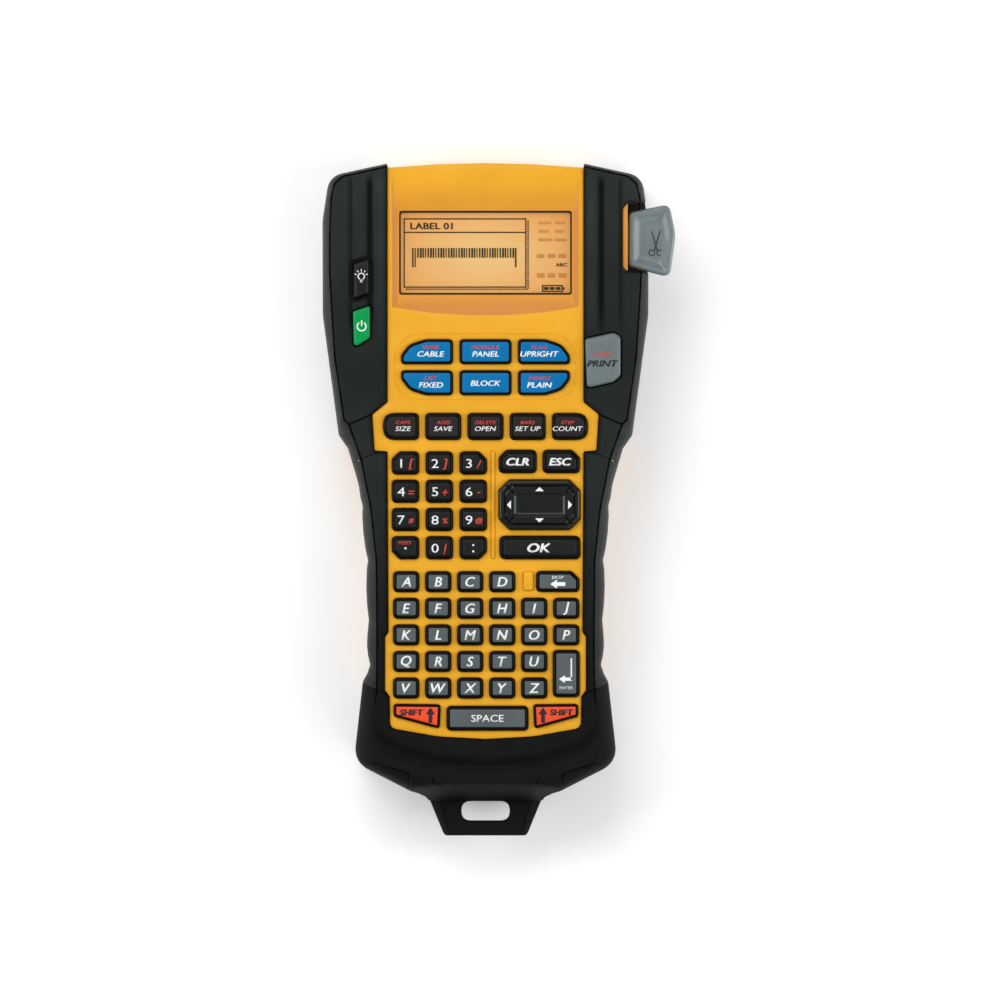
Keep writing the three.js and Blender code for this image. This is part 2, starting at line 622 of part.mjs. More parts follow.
// ---------------------------------------------------------------- print mechanism
function chassisFrame() {
  const plate = prism(
    [
      [-58, 90, 2],
      [54.5, 90, 2],
      [54.5, 20, 2],
      [24, 20, 2],
      [-2, 42, 2],
      [-58, 42, 2],
    ],
    CHASSIS_Z[0],
    CHASSIS_Z[1],
  );
  const railTop = CHASSIS_Z[0] + 0.5;
  const rails = [CUTTER.low - 2.2, CUTTER.high + 0.4].map((y) => box(28, 44.6, y, y + 1.6, 29.6, railTop));
  // Each bearing of the lever stands beside the gears and reaches in over them.
  const bearings = [LEVER.low - 2.4, LEVER.high + 0.4].map((y) =>
    joined(box(49.6, 52.4, y, y + 2, CHASSIS_Z[0], 47.8), box(LEVER.x - 1.9, 52.4, y, y + 2, 37.5, 47.8)),
  );
  const stub = post(IDLER.x, IDLER.y, 1.8, CHASSIS_Z[0], GEAR_Z[1] + 1);
  const holes = [
    post(PLATEN.x, PLATEN.y, 1.5 + RUN, 20, 40),
    post(MOTOR.x, MOTOR.y, 3.4, 20, 40),
    post(TAKE_UP.x, TAKE_UP.y, 2.2 + RUN, 20, 40),
    box(26.8, 44.5, CUTTER.low - 0.6, CUTTER.high + 0.4, 20, 40),
    rod(LEVER.x, LEVER.z, LEVER.pin + 0.05, 50, 95),
  ];
  return cut(joined(plate, ...rails, ...bearings, stub), ...holes);
}

function printHead() {
  const bar = box(28.6, TAPE_X - 0.3, PLATEN.y - 5, PLATEN.y + 5, 6, CHASSIS_Z[0] - GAP);
  const line = box(TAPE_X - 1, TAPE_X - 0.15, PLATEN.y - 0.8, PLATEN.y + 0.8, 7, 28);
  return bar.add(line);
}

function driveMotor() {
  const can = post(MOTOR.x, MOTOR.y, 11.5, 6, CHASSIS_Z[0] - GAP, 24);
  const boss = post(MOTOR.x, MOTOR.y, 3, 20, CHASSIS_Z[1] + GAP);
  const shaft = post(MOTOR.x, MOTOR.y, 1.2, 20, GEAR_Z[1] + 0.8, 16);
  return joined(can, boss, shaft);
}

function cutterFrame() {
  const anvil = box(27.2, TAPE_X - 1, CUTTER.low, CUTTER.high, CUTTER.back, 29.9);
  const springSeat = box(27.2, 28.9, CUTTER.low, CUTTER.high, 29, 35.4);
  const slot = box(TAPE_X - 2.4, TAPE_X, 82.4, 84.2, 5, 31);
  return anvil.add(springSeat).subtract(slot);
}

function cutterCarrier() {
  const carrier = box(40.5, 44, CUTTER.low, CUTTER.high, CUTTER.back, CUTTER.front);
  const seat = box(40, 41.9, 82.5, 84.1, 5, 29.6);
  return carrier.subtract(seat);
}

function cutterBlade() {
  const corners = [[36.3, 83.3, 0], [38.6, 83.9, 0], [41.8, 83.9, 0], [41.8, 82.7, 0], [38.6, 82.7, 0]];
  return prism(corners, 6.4, 29);
}

// A dished paddle outside the head, an arm in to the pivot, and a crank that drives the cutter carrier.
function cutterLever() {
  const paddle = prism(
    [[57.4, 83.2, 2.5], [73.6, 86.6, 2.5], [76.2, 74, 20], [73.8, 57, 2.5], [57.2, 61.4, 2.5]],
    44,
    54,
    4,
  );
  const front = sideways([[50, 50.6, 0], [50, 60, 0], [95, 60, 0], [95, 50.6, 0], [72, 48.4, 40]], 50, 90);
  const back = sideways([[50, 47, 0], [72, 45.4, 40], [95, 47, 0], [95, 40, 0], [50, 40, 0]], 50, 90);
  const { x, z, low, high, hub, pin } = LEVER;
  const arm = box(x, 60, low + 4, high - 4, z + 0.8, z + 3.4);
  const crank = box(x - 1.7, x + 1.7, CUTTER.low + 0.5, high - 0.5, z - LEVER.crank, z);
  return cut(
    joined(cut(paddle, front, back), arm, rod(x, z, hub, low, high), crank),
    rod(x, z, pin + RUN, low - 5, high + 5),
  );
}

// A compression spring between the anvil frame and the carrier.
function returnSpring() {
  const [start, end, turns, radius] = [29.4, 40.1, 5, 2.1];
  class Helix extends THREE.Curve {
    getPoint(t, target = new THREE.Vector3()) {
      const angle = 2 * Math.PI * turns * t;
      const x = start + (end - start) * t;
      return target.set(x, 80.9 + radius * Math.cos(angle), 32.6 + radius * Math.sin(angle));
    }
  }
  const wire = new THREE.Shape().absarc(0, 0, 0.3, 0, 2 * Math.PI);
  const options = { steps: 45, extrudePath: new Helix(), curveSegments: 3 };
  return solidFrom(new THREE.ExtrudeGeometry(wire, options));
}

// ---------------------------------------------------------------- electronics
function circuitBoard() {
  const top = BOARD_Z + 1.6;
  const spine = box(-39.5, 39, -126, 92, BOARD_Z, top);
  const rightWing = box(30, 53, 10, 50, BOARD_Z, top);
  const leftWing = box(-54, -30, 10, 68, BOARD_Z, top);
  const chip = box(-10, 6, 20, 36, BOARD_Z - 1.8, BOARD_Z + 0.2);
  return joined(spine, rightWing, leftWing, chip);
}

function keypadMat() {
  const base = prism(inset(PLATE, WALL + 0.6), BOARD_Z + 1.9, MAT_TOP_Z);
  const aboveKeys = box(-60, 60, 34, TOP, 40, 60);
  const keys = MAT_KEYS.map((outline) => prism(outline, MAT_TOP_Z - 0.5, KEY_TOP_Z, 2));
  return joined(base.subtract(aboveKeys), ...keys);
}

function navigationKey() {
  const cap = prism(navOutline(0), 51, 57);
  const dish = prism(rectangle(NAV.x, NAV.y, 19, 9, 2), 56.3, 60);
  return cut(cap, dish);
}

function navigationPost() {
  const cross = box(NAV.x - 3.4, NAV.x + 3.4, NAV.y - 1, NAV.y + 1, 49.4, 50.7);
  return cross.add(post(NAV.x, NAV.y, 2.4, MAT_TOP_Z + GAP, 50.7));
}

function powerJack() {
  const block = box(-59, -46.4, JACK.y - 4.6, JACK.y + 4.6, JACK.z - 3.6, JACK.z + 3.6);
  const across = (radius, length, x) => {
    const geometry = new THREE.CylinderGeometry(radius, radius, length, 16);
    return solidFrom(geometry.rotateZ(Math.PI / 2).translate(x, JACK.y, JACK.z));
  };
  return joined(cut(block, across(3.2, 12, -57)), across(0.9, 4, -50));
}

// ---------------------------------------------------------------- assembly
const labelMaker = new THREE.Group();

function add(name, solid, look) {
  const mesh = new THREE.Mesh(geometryFrom(solid), new THREE.MeshStandardMaterial(look));
  mesh.name = name;
  labelMaker.add(mesh);
}

add("front_cover", frontCover(), YELLOW);
add("rear_housing", rearHousing(), YELLOW);
for (const [name, solid] of Object.entries(guardParts())) add(name, solid, RUBBER);

add("display_window", box(-34.6, 34.6, 50.1, 83.8, 50.2, 51.8), AMBER);
add("display_panel", box(-37, 37, 46, 87, BOARD_Z + 1.9, 48.9), STEEL);
add("circuit_board", circuitBoard(), BOARD);
add("keypad_mat", keypadMat(), BLACK);
add("navigation_post", navigationPost(), BLACK);
add("navigation_key", navigationKey(), BLACK);
for (const [name, key] of Object.entries(FACE_KEYS)) add(name, faceKey(key.outline), key.look);
for (const [name, key] of Object.entries(GUARD_KEYS)) add(name, guardKey(key.outline), key.look);

add("cassette_door", cassetteDoor(), YELLOW);
const doorPin = rod(DOOR_HINGE.x, DOOR_HINGE.z, DOOR_HINGE.pin, DOOR.y0 + 6.2, DOOR.y1 - 6.2, 16);
add("cassette_door_pin", doorPin, STEEL);
add("battery_door", batteryDoor(), BLACK);
add("battery_pack", batteryPack(), BLACK);
add("battery_contacts", box(-14, 14, -22.4, -18.6, 15.7, 43.7), BRASS);
add("power_jack", powerJack(), BLACK);

add("chassis_frame", chassisFrame(), STEEL);
add("print_head", printHead(), IVORY);
add("drive_motor", driveMotor(), STEEL);
function boredGear(teeth, phase, at, bore) {
  return gear(teeth, phase, at.x, at.y, ...GEAR_Z).subtract(post(at.x, at.y, bore, 30, 40, 16));
}

const takeUpShaft = post(TAKE_UP.x, TAKE_UP.y, 2.2, 12, GEAR_Z[0] + 1);
const roller = post(PLATEN.x, PLATEN.y, PLATEN.radius, 6.5, 29.5, 24);
add("motor_pinion", boredGear(TEETH.pinion, PHASE.pinion, MOTOR, 1.28), BRASS);
add("idler_gear", boredGear(TEETH.idler, PHASE.idler, IDLER, 1.8 + RUN), IVORY);
add("platen_gear", boredGear(TEETH.platen, PHASE.platen, PLATEN, 1.55), IVORY);
add("platen_shaft", post(PLATEN.x, PLATEN.y, 1.5, 4, GEAR_Z[1] + 1), STEEL);
add("platen_roller", roller.subtract(post(PLATEN.x, PLATEN.y, 1.55, 0, 40)), BLACK);
add("take_up_gear", gear(TEETH.takeUp, PHASE.takeUp, TAKE_UP.x, TAKE_UP.y, ...GEAR_Z).add(takeUpShaft), IVORY);
add("ribbon_take_up_spool", spool(TAKE_UP, 4, 8.6, 2.25, 11.4, 29.4), BLACK);
add("ribbon_supply_spool", spool(SUPPLY, 6.5, 9.6, 2.1, 7, 29.4), BLACK);
add("tape_roll", spool(TAPE_ROLL, TAPE_ROLL.radius, 12, 2.1, 7, 28.4), IVORY);
add("cassette_shell", cassetteShell(), BLACK);

add("cutter_frame", cutterFrame(), STEEL);
add("cutter_carrier", cutterCarrier(), BLACK);
add("cutter_blade", cutterBlade(), STEEL);
add("cutter_return_spring", returnSpring(), STEEL);
add("cutter_pivot_pin", rod(LEVER.x, LEVER.z, LEVER.pin, LEVER.low - 2.4, LEVER.high + 2.4), STEEL);
add("cutter_lever", cutterLever(), GREY);

export default labelMaker;
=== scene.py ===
# Looks of a handheld label maker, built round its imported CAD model.
# Outlines are in millimetres, in the CAD model's own frame; meshes are written in metres.
import math

import bmesh
import bpy
import numpy as np
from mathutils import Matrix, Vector, geometry


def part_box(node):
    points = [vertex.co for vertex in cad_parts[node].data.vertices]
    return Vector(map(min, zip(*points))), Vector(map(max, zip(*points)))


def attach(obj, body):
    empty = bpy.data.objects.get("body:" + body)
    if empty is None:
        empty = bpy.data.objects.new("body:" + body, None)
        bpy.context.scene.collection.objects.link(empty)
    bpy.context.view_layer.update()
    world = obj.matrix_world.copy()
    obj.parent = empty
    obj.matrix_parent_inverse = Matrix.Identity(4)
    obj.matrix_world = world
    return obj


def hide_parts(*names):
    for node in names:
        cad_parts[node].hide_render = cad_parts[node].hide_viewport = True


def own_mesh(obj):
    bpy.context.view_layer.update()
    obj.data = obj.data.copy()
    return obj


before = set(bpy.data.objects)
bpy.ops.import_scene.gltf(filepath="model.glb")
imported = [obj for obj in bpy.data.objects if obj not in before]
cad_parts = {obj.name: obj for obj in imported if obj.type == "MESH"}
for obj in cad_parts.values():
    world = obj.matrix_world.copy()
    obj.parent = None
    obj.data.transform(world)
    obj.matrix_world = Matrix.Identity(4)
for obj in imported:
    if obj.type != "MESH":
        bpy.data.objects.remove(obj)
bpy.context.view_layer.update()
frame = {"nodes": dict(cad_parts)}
MM = 0.001

# ------------------------------------------------------------------ driving dimensions, mm
TOP = 102.8  # upper edge of the head, in Y
FACE_Z = 54.0  # front of the yellow plate
PAN_Z = 52.0  # floor of the pan round the display
GUARD_Z = 55.2  # front of the rubber
GUARD_BASE_Z = 51.9  # underside of the rubber over the case front
GUARD_WALL = 2.7  # thickness of the rubber on the sides
GRIP_BACK_Z = 13.0
TAB_Z = 33.0  # front of the lanyard tab
KEY_TOP_Z = 56.4
KEY_BASE_Z = 47.3
GUARD_KEY_BASE_Z = 47.5
GUARD_KEY_TOP_Z = 57.12
PRINT_HALF = 0.03  # half the thickness of the print
PRINT_Z = KEY_TOP_Z + 0.1
GAP = 0.3  # between the plate and the rubber
KEY_GAP = 0.3  # round each key in the plate
SEAM_GAP = 0.14  # half the gap between two pieces of rubber
GROOVE = 0.9  # width of the engraved lines
COLLAR_GROOVE = 0.8

SILHOUETTE_HALF = [
    (39.6, 102.6, 0.8),
    (62.6, 97.6, 8),
    (65.3, 80, 18),
    (65.2, 42, 30),
    (58.8, -6, 3),
    (55, -11.5, 2),
    (50.8, -26, 12),
    (47.9, -56, 20),
    (47.4, -98, 6),
    (49.2, -105, 4),
    (52.8, -137, 10),
    (22.4, -152.6, 3),
    (16.6, -166.8, 2.2),
]
PLATE_HALF = [
    (0, TOP, 0),
    (20, 102.3, 60),
    (39.2, 100.9, 0.6),
    (39.2, 7.2, 1.5),
    (45.3, 2.2, 1.5),
    (44.4, -12.2, 0.8),
    (39.2, -12.6, 0.6),
    (38.8, -84.8, 0.5),
    (40.2, -86.8, 0.5),
    (40.2, -108.2, 0.8),
    (38.3, -110.6, 0.5),
    (38.2, -123.2, 3),
    (19, -126.6, 60),
    (0, -127.6, 0),
]
# The seam in the rubber from the plate to the rounded side, above the grip.
COLLAR_SEAM = [(45.4, 2.3), (54.6, -1.8)]


# ------------------------------------------------------------------ outlines
def mirrored(half):
    """Rounded corners given for the right side, clockwise, with their mirror images."""
    left = [(-x, y, r) for x, y, r in half if x > 0]
    return list(half) + left[::-1]


def rectangle(x, y, width, height, radius):
    w, h = width / 2, height / 2
    return [(x - w, y + h, radius), (x + w, y + h, radius), (x + w, y - h, radius), (x - w, y - h, radius)]


def chamfered(x, y, width, height, corner, radius=1.0):
    """A rectangle with its four corners cut off."""
    w, h = width / 2, height / 2
    return [
        (x - w + corner, y + h, radius),
        (x + w - corner, y + h, radius),
        (x + w, y + h - corner, radius),
        (x + w, y - h + corner, radius),
        (x + w - corner, y - h, radius),
        (x - w + corner, y - h, radius),
        (x - w, y - h + corner, radius),
        (x - w, y + h - corner, radius),
    ]


def inset(corners, distance):
    """A clockwise list of rounded corners moved inwards."""
    moved = []
    count = len(corners)
    for i, (x, y, radius) in enumerate(corners):
        normals = []
        for a, b in ((corners[i - 1], corners[i]), (corners[i], corners[(i + 1) % count])):
            along = Vector((b[0] - a[0], b[1] - a[1])).normalized()
            normals.append(Vector((along.y, -along.x)))
        shift = (normals[0] + normals[1]) * (distance / (1 + normals[0].dot(normals[1])))
        moved.append((x + shift.x, y + shift.y, max(radius - distance, 0.15) if radius else 0))
    return moved


def rounded(corners, steps=5):
    """The points of a list of rounded corners, the same number for every corner."""
    points = []
    count = len(corners)
    for i, (x, y, radius) in enumerate(corners):
        here = Vector((x, y))
        back = Vector(corners[i - 1][:2]) - here
        on = Vector(corners[(i + 1) % count][:2]) - here
        half = back.angle(on) / 2
        reach = min(radius / math.tan(half), back.length / 2.1, on.length / 2.1) if radius else 0
        if reach < 0.02:
            points.append(here)
            continue
        start = here + back.normalized() * reach
        end = here + on.normalized() * reach
        for step in range(steps + 1):
            t = step / steps
            points.append(start * (1 - t) ** 2 + here * 2 * t * (1 - t) + end * t**2)
    return np.array([tuple(p) for p in points])


def subdivided(points, spacing, closed=True):
    """The same path with no step longer than spacing."""
    out = []
    count = len(points)
    last = count if closed else count - 1
    for i in range(last):
        a, b = np.array(points[i]), np.array(points[(i + 1) % count])
        pieces = max(1, int(math.ceil(np.linalg.norm(b - a) / spacing)))
        out += [a + (b - a) * k / pieces for k in range(pieces)]
    if not closed:
        out.append(np.array(points[-1]))
    return np.array(out)


def offset_path(points, distance, closed=True):
    """A path moved to its right by a distance."""
    after = np.roll(points, -1, axis=0) - points
    before = points - np.roll(points, 1, axis=0)
    if not closed:
        after[-1], before[0] = before[-1], after[0]
    unit = [v / np.maximum(np.linalg.norm(v, axis=1, keepdims=True), 1e-9) for v in (before, after)]
    along = unit[0] + unit[1]
    along /= np.maximum(np.linalg.norm(along, axis=1, keepdims=True), 1e-9)
    return points + distance * np.stack([along[:, 1], -along[:, 0]], axis=1)


def closed_line(loop, distance=0.0):
    """A closed loop moved to its right, as a path that ends where it starts."""
    moved = offset_path(loop, distance)
    return np.vstack([moved, moved[:1]])


def distance_to(points, path, closed=True):
    """The distance of each point to a path."""
    a = np.asarray(path, float)
    b = np.roll(a, -1, axis=0)
    if not closed:
        a, b = a[:-1], b[:-1]
    best = np.full(len(points), 1e9)
    for start, end in zip(a, b):
        along = end - start
        t = np.clip(((points - start) @ along) / max(along @ along, 1e-12), 0, 1)
        best = np.minimum(best, np.linalg.norm(points - (start + t[:, None] * along), axis=1))
    return best


def nearest(points, loops):
    """The distance of each point to the nearest of several closed loops."""
    return np.min([distance_to(points, loop) for loop in loops], axis=0)


def inside(points, loop):
    """Which points lie inside a closed loop."""
    x, y = points[:, 0], points[:, 1]
    hit = np.zeros(len(points), bool)
    a = np.asarray(loop, float)
    b = np.roll(a, -1, axis=0)
    for (x0, y0), (x1, y1) in zip(a, b):
        if y0 == y1:
            continue
        crosses = (y0 > y) != (y1 > y)
        hit ^= crosses & (x < (x1 - x0) * (y - y0) / (y1 - y0) + x0)
    return hit


def outside(points, loops):
    """Which points lie outside all of several closed loops."""
    return ~np.any([inside(points, loop) for loop in loops], axis=0)


def flat(height):
    """A front or back at one height, for relief."""
    return lambda points: np.full(len(points), height)


SILHOUETTE = subdivided(rounded(mirrored(SILHOUETTE_HALF), 10), 1.6)
PLATE = subdivided(rounded(mirrored(PLATE_HALF), 8), 1.8)


# ------------------------------------------------------------------ mesh builders
def finished(name, vertices, faces, materials, face_materials=None, angle=35, shade=None):
    """A mesh object from millimetre vertices, smooth apart from edges sharper than an angle in degrees.
    shade is the painted light and shade of its finish at each vertex, for a finish that reads it."""
    mesh = bpy.data.meshes.new(name)
    mesh.from_pydata([tuple(c * MM for c in v) for v in vertices], [], [list(f) for f in faces])
    for material in materials:
        mesh.materials.append(material)
    if face_materials is not None:
        mesh.polygons.foreach_set("material_index", face_materials)
    if shade is not None:
        mesh.attributes.new("shade", "FLOAT", "POINT").data.foreach_set("value", shade.astype(np.float32))
    mesh.validate()
    mesh.shade_smooth()
    mesh.set_sharp_from_angle(angle=math.radians(angle))
    obj = bpy.data.objects.new(name, mesh)
    bpy.context.scene.collection.objects.link(obj)
    return obj


def placed(obj, body, slot, *nodes):
    """Rides the object on a body and hides the CAD nodes it stands for. slot is not used."""
    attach(obj, body)
    if nodes:
        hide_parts(*nodes)
    return obj


def layered(name, corners, layers, materials, top_material=0, steps=5):
    """A closed solid of stacked rings. A layer is (inset, height, material of the band that ends there)."""
    rings = [rounded(inset(corners, d), steps) for d, _, _ in layers]
    count = len(rings[0])
    vertices = [(x, y, z) for ring, (_, z, _) in zip(rings, layers) for x, y in ring]
    faces = [list(range(count))]
    kinds = [layers[0][2]]
    for level in range(1, len(layers)):
        low, high = (level - 1) * count, level * count
        for i in range(count):
            j = (i + 1) % count
            faces.append((low + j, low + i, high + i, high + j))
            kinds.append(layers[level][2])
    last = (len(layers) - 1) * count
    faces.append([last + count - 1 - i for i in range(count)])
    kinds.append(top_material)
    return finished(name, vertices, faces, materials, kinds)


def relief(name, loops, region, top, bottom, creases, spacing, rings, materials, paint=None, shade=None):
    """A closed solid over the part of the plane that region picks out, bounded by loops and creases.
    top and bottom give its front and back at points. rings are distances from the loops that the mesh
    follows, with a spacing each. paint gives each face's material, and shade the painted light and shade of
    its finish."""
    fixed, edges = [], []
    for path, closed in [(loop, True) for loop in loops] + [(crease, False) for crease in creases]:
        base = len(fixed)
        fixed += [tuple(p) for p in path]
        edges += [(base + i, base + i + 1) for i in range(len(path) - 1)]
        if closed:
            edges.append((base + len(path) - 1, base))
    extra = []
    for distance, step in rings:
        both = [offset_path(loop, way * distance) for loop in loops for way in (1, -1)]
        moved = np.concatenate([subdivided(path, step) for path in both])
        moved = moved[region(moved)]
        extra.append(moved[nearest(moved, loops) > distance * 0.9])
    low, high = np.concatenate(loops).min(axis=0), np.concatenate(loops).max(axis=0)
    grid = np.stack(
        np.meshgrid(np.arange(low[0], high[0], spacing), np.arange(low[1], high[1], spacing)), axis=-1
    ).reshape(-1, 2)
    grid[:, 0] += np.where(np.round((grid[:, 1] - low[1]) / spacing) % 2 == 1, spacing / 2, 0)
    grid = grid[region(grid)]
    margin = max([d for d, _ in rings] + [0.1]) + spacing * 0.4
    extra.append(grid[nearest(grid, loops) > margin])
    free = np.concatenate(extra)
    if creases:
        near = np.min([distance_to(free, path, closed=False) for path in creases], axis=0)
        free = free[near > 0.25]
    points = [Vector(p) for p in fixed] + [Vector(p) for p in free]
    made = geometry.delaunay_2d_cdt(points, edges, [], 0, 1e-5)
    flat = np.array([tuple(v) for v in made[0]])
    triangles = np.array([f for f in made[2] if len(f) == 3])
    triangles = triangles[region(flat[triangles].mean(axis=1))]
    a, b, c = flat[triangles[:, 0]], flat[triangles[:, 1]], flat[triangles[:, 2]]
    area = (b[:, 0] - a[:, 0]) * (c[:, 1] - a[:, 1]) - (b[:, 1] - a[:, 1]) * (c[:, 0] - a[:, 0])
    triangles[area < 0] = triangles[area < 0][:, ::-1]
    used = np.unique(triangles)
    index = np.full(len(flat), -1)
    index[used] = np.arange(len(used))
    flat, triangles = flat[used], index[triangles]
    count = len(flat)
    front = top(flat)
    upper = np.column_stack([flat, front])
    lower = np.column_stack([flat, np.minimum(bottom(flat), front - 0.3)])
    sides = {}
    for triangle in triangles.tolist():
        for i in range(3):
            edge = (triangle[i], triangle[(i + 1) % 3])
            if edge[::-1] in sides:
                del sides[edge[::-1]]
            else:
                sides[edge] = True
    faces = [tuple(t) for t in triangles.tolist()]
    kinds = [0] * len(faces) if paint is None else [int(k) for k in paint(flat[triangles].mean(axis=1))]
    faces += [(t[2] + count, t[1] + count, t[0] + count) for t in triangles.tolist()]
    faces += [(i, i + count, j + count, j) for i, j in sides]
    kinds += [0] * (len(faces) - len(kinds))
    tone = None if shade is None else np.tile(shade(flat), 2)
    return finished(name, np.concatenate([upper, lower]), faces, materials, kinds, shade=tone)


def joined(name, parts):
    """Several meshes made one object."""
    with bpy.context.temp_override(
        active_object=parts[0], object=parts[0], selected_objects=parts, selected_editable_objects=parts
    ):
        bpy.ops.object.join()
    parts[0].name = name
    parts[0].data.name = name
    return parts[0]


def fall(distance, radius):
    """How far a rounded edge has fallen at a distance in from it."""
    reach = np.clip(radius - distance, 0, radius)
    return radius - np.sqrt(np.maximum(radius**2 - reach**2, 0))


def smooth(value, low, high):
    """0 at low, 1 at high, and an even rise between them."""
    t = np.clip((value - low) / (high - low), 0, 1)
    return t * t * (3 - 2 * t)


def groove(distance, width, depth):
    """The depth of a round-bottomed groove at a distance from its middle."""
    t = np.clip(distance / (width / 2), 0, 1)
    return depth * (0.5 + 0.5 * np.cos(math.pi * t))


def groove_paths(path, width, closed=False):
    """Paths along and beside a groove, for the mesh to follow."""
    dense = subdivided(np.array(path, float), 1.2, closed)
    if closed:
        dense = np.vstack([dense, dense[:1]])
    return [offset_path(dense, d * width / 2, closed=False) for d in (-1, -0.5, 0, 0.5, 1)]


def back_height(y):
    """The back of the object, from the side: the head, the raised grip and the heel."""
    return np.interp(y, [-150, -147.9, -122, -109, -15, -2], [4, 0, 0, GRIP_BACK_Z, GRIP_BACK_Z, 0])


# ------------------------------------------------------------------ materials
def material(name, color, roughness, grain=(900, 0.1), mottle=0.12, metallic=0.0, specular=0.5, deep=None):
    """A procedural finish: moulded grain as bump, and slow variation of colour and roughness.
    grain is the bump's scale and strength, and deep is the colour of painted shade, taken where its mesh's
    shade is 0."""
    made = bpy.data.materials.new(name)
    made.use_nodes = True
    nodes, links = made.node_tree.nodes, made.node_tree.links
    shader = nodes["Principled BSDF"]
    shader.inputs["Metallic"].default_value = metallic
    shader.inputs["Specular IOR Level"].default_value = specular
    where = nodes.new("ShaderNodeTexCoord")
    slow = nodes.new("ShaderNodeTexNoise")
    slow.inputs["Scale"].default_value = 55
    slow.inputs["Detail"].default_value = 5
    links.new(where.outputs["Object"], slow.inputs["Vector"])
    tint = nodes.new("ShaderNodeValToRGB")
    low, high = tint.color_ramp.elements
    low.position, high.position = 0.35, 0.68
    low.color = (*[c * (1 - mottle) for c in color], 1)
    high.color = (*[min(c * (1 + mottle * 0.5), 1) for c in color], 1)
    links.new(slow.outputs["Fac"], tint.inputs["Fac"])
    # Painted light and shade: the colour runs from the painted shade colour to the finish's own by the mesh's
    # shade.
    if deep:
        tone = nodes.new("ShaderNodeAttribute")
        tone.attribute_name = "shade"
        blend = nodes.new("ShaderNodeMixRGB")
        blend.inputs["Color1"].default_value = (*deep, 1)
        links.new(tone.outputs["Fac"], blend.inputs["Fac"])
        links.new(tint.outputs["Color"], blend.inputs["Color2"])
        links.new(blend.outputs["Color"], shader.inputs["Base Color"])
    else:
        links.new(tint.outputs["Color"], shader.inputs["Base Color"])
    fine = nodes.new("ShaderNodeTexNoise")
    fine.inputs["Scale"].default_value = grain[0]
    fine.inputs["Detail"].default_value = 3
    links.new(where.outputs["Object"], fine.inputs["Vector"])
    shine = nodes.new("ShaderNodeMapRange")
    shine.inputs["To Min"].default_value = roughness - 0.07
    shine.inputs["To Max"].default_value = roughness + 0.08
    links.new(slow.outputs["Fac"], shine.inputs["Value"])
    links.new(shine.outputs["Result"], shader.inputs["Roughness"])
    bump = nodes.new("ShaderNodeBump")
    bump.inputs["Strength"].default_value = grain[1]
    bump.inputs["Distance"].default_value = 0.0003
    links.new(fine.outputs["Fac"], bump.inputs["Height"])
    links.new(bump.outputs["Normal"], shader.inputs["Normal"])
    return made


YELLOW = material("yellow_plastic", (0.84, 0.405, 0.014), 0.42, (1400, 0.10), 0.05, specular=0.3)
# The front's yellow, painted darker towards orange as painted shade in the sunk pan round the display.
FRONT_YELLOW_PAINTED_SHADE = material(
    "front_yellow_painted_shade", (0.84, 0.405, 0.014), 0.42, (1400, 0.10), 0.05, specular=0.3, deep=(0.60, 0.205, 0.03)
)
POCKET_YELLOW = material("pocket_yellow", (0.78, 0.31, 0.03), 0.45, (1400, 0.10), 0.08)
# Painted shade: the near-black the rubber is painted where it is shaded.
PAINTED_SHADE_BLACK = (0.0004, 0.0006, 0.0004)
RUBBER = material(
    "black_rubber", (0.033, 0.042, 0.038), 0.66, (1800, 0.35), 0.2, specular=0.12, deep=PAINTED_SHADE_BLACK
)
RUBBER_BAND = material(
    "rubber_band", (0.032, 0.040, 0.037), 0.5, (1500, 0.12), 0.2, specular=0.22, deep=PAINTED_SHADE_BLACK
)
PLAIN_RUBBER = material("plain_rubber", (0.009, 0.010, 0.0095), 0.6, (1200, 0.3), 0.2, specular=0.2)
SEAM = material("seam_shadow", (0.0012, 0.0014, 0.0013), 0.7, (1500, 0.1), 0.2, specular=0.05)
BLACK = material("black_plastic", (0.0014, 0.0016, 0.0016), 0.35, (1600, 0.12), 0.15, specular=0.1)
KEY_BLACK = material("key_black", (0.0075, 0.0088, 0.0084), 0.45, (1600, 0.2), 0.15, specular=0.2)
KEY_GLOSS = material("key_gloss", (0.0022, 0.0042, 0.0037), 0.3, (1600, 0.05), 0.15, specular=0.4)
KEY_BROWN = material("key_brown", (0.0165, 0.0125, 0.0125), 0.5, (1600, 0.25), 0.15, specular=0.2)
KEY_GREY = material("key_grey", (0.088, 0.108, 0.113), 0.45, (1500, 0.15), 0.08, specular=0.25)
GREY = material("grey_plastic", (0.145, 0.18, 0.188), 0.42, (1300, 0.12), 0.08, specular=0.3)
LEVER_GREY = material("lever_grey", (0.15, 0.19, 0.197), 0.3, (1100, 0.14), 0.14, specular=0.7)
MARK_GREY = material("mark_grey", (0.035, 0.05, 0.052), 0.5, (1300, 0.12), 0.1, specular=0.2)
BLUE = material("blue_plastic", (0.0003, 0.165, 0.42), 0.38, (1500, 0.1), 0.08, specular=0.12)
RED = material("red_plastic", (0.86, 0.075, 0.018), 0.4, (1500, 0.1), 0.06, specular=0.3)
GREEN = material("green_plastic", (0.0, 0.31, 0.075), 0.38, (1500, 0.1), 0.07, specular=0.12)
INK_WHITE = material("ink_white", (0.88, 0.90, 0.90), 0.5, (2500, 0.05), 0.03)
INK_RED = material("ink_red", (0.66, 0.05, 0.03), 0.5, (2500, 0.05), 0.04)
INK_BLACK = material("ink_black", (0.005, 0.005, 0.006), 0.5, (2500, 0.05), 0.1)
LCD_INK = material("display_ink", (0.004, 0.003, 0.002), 0.6, (2500, 0.02), 0.1, specular=0.05)
LCD_FAINT = material("display_faint", (0.58, 0.25, 0.065), 0.6, (2500, 0.02), 0.1, specular=0.05)
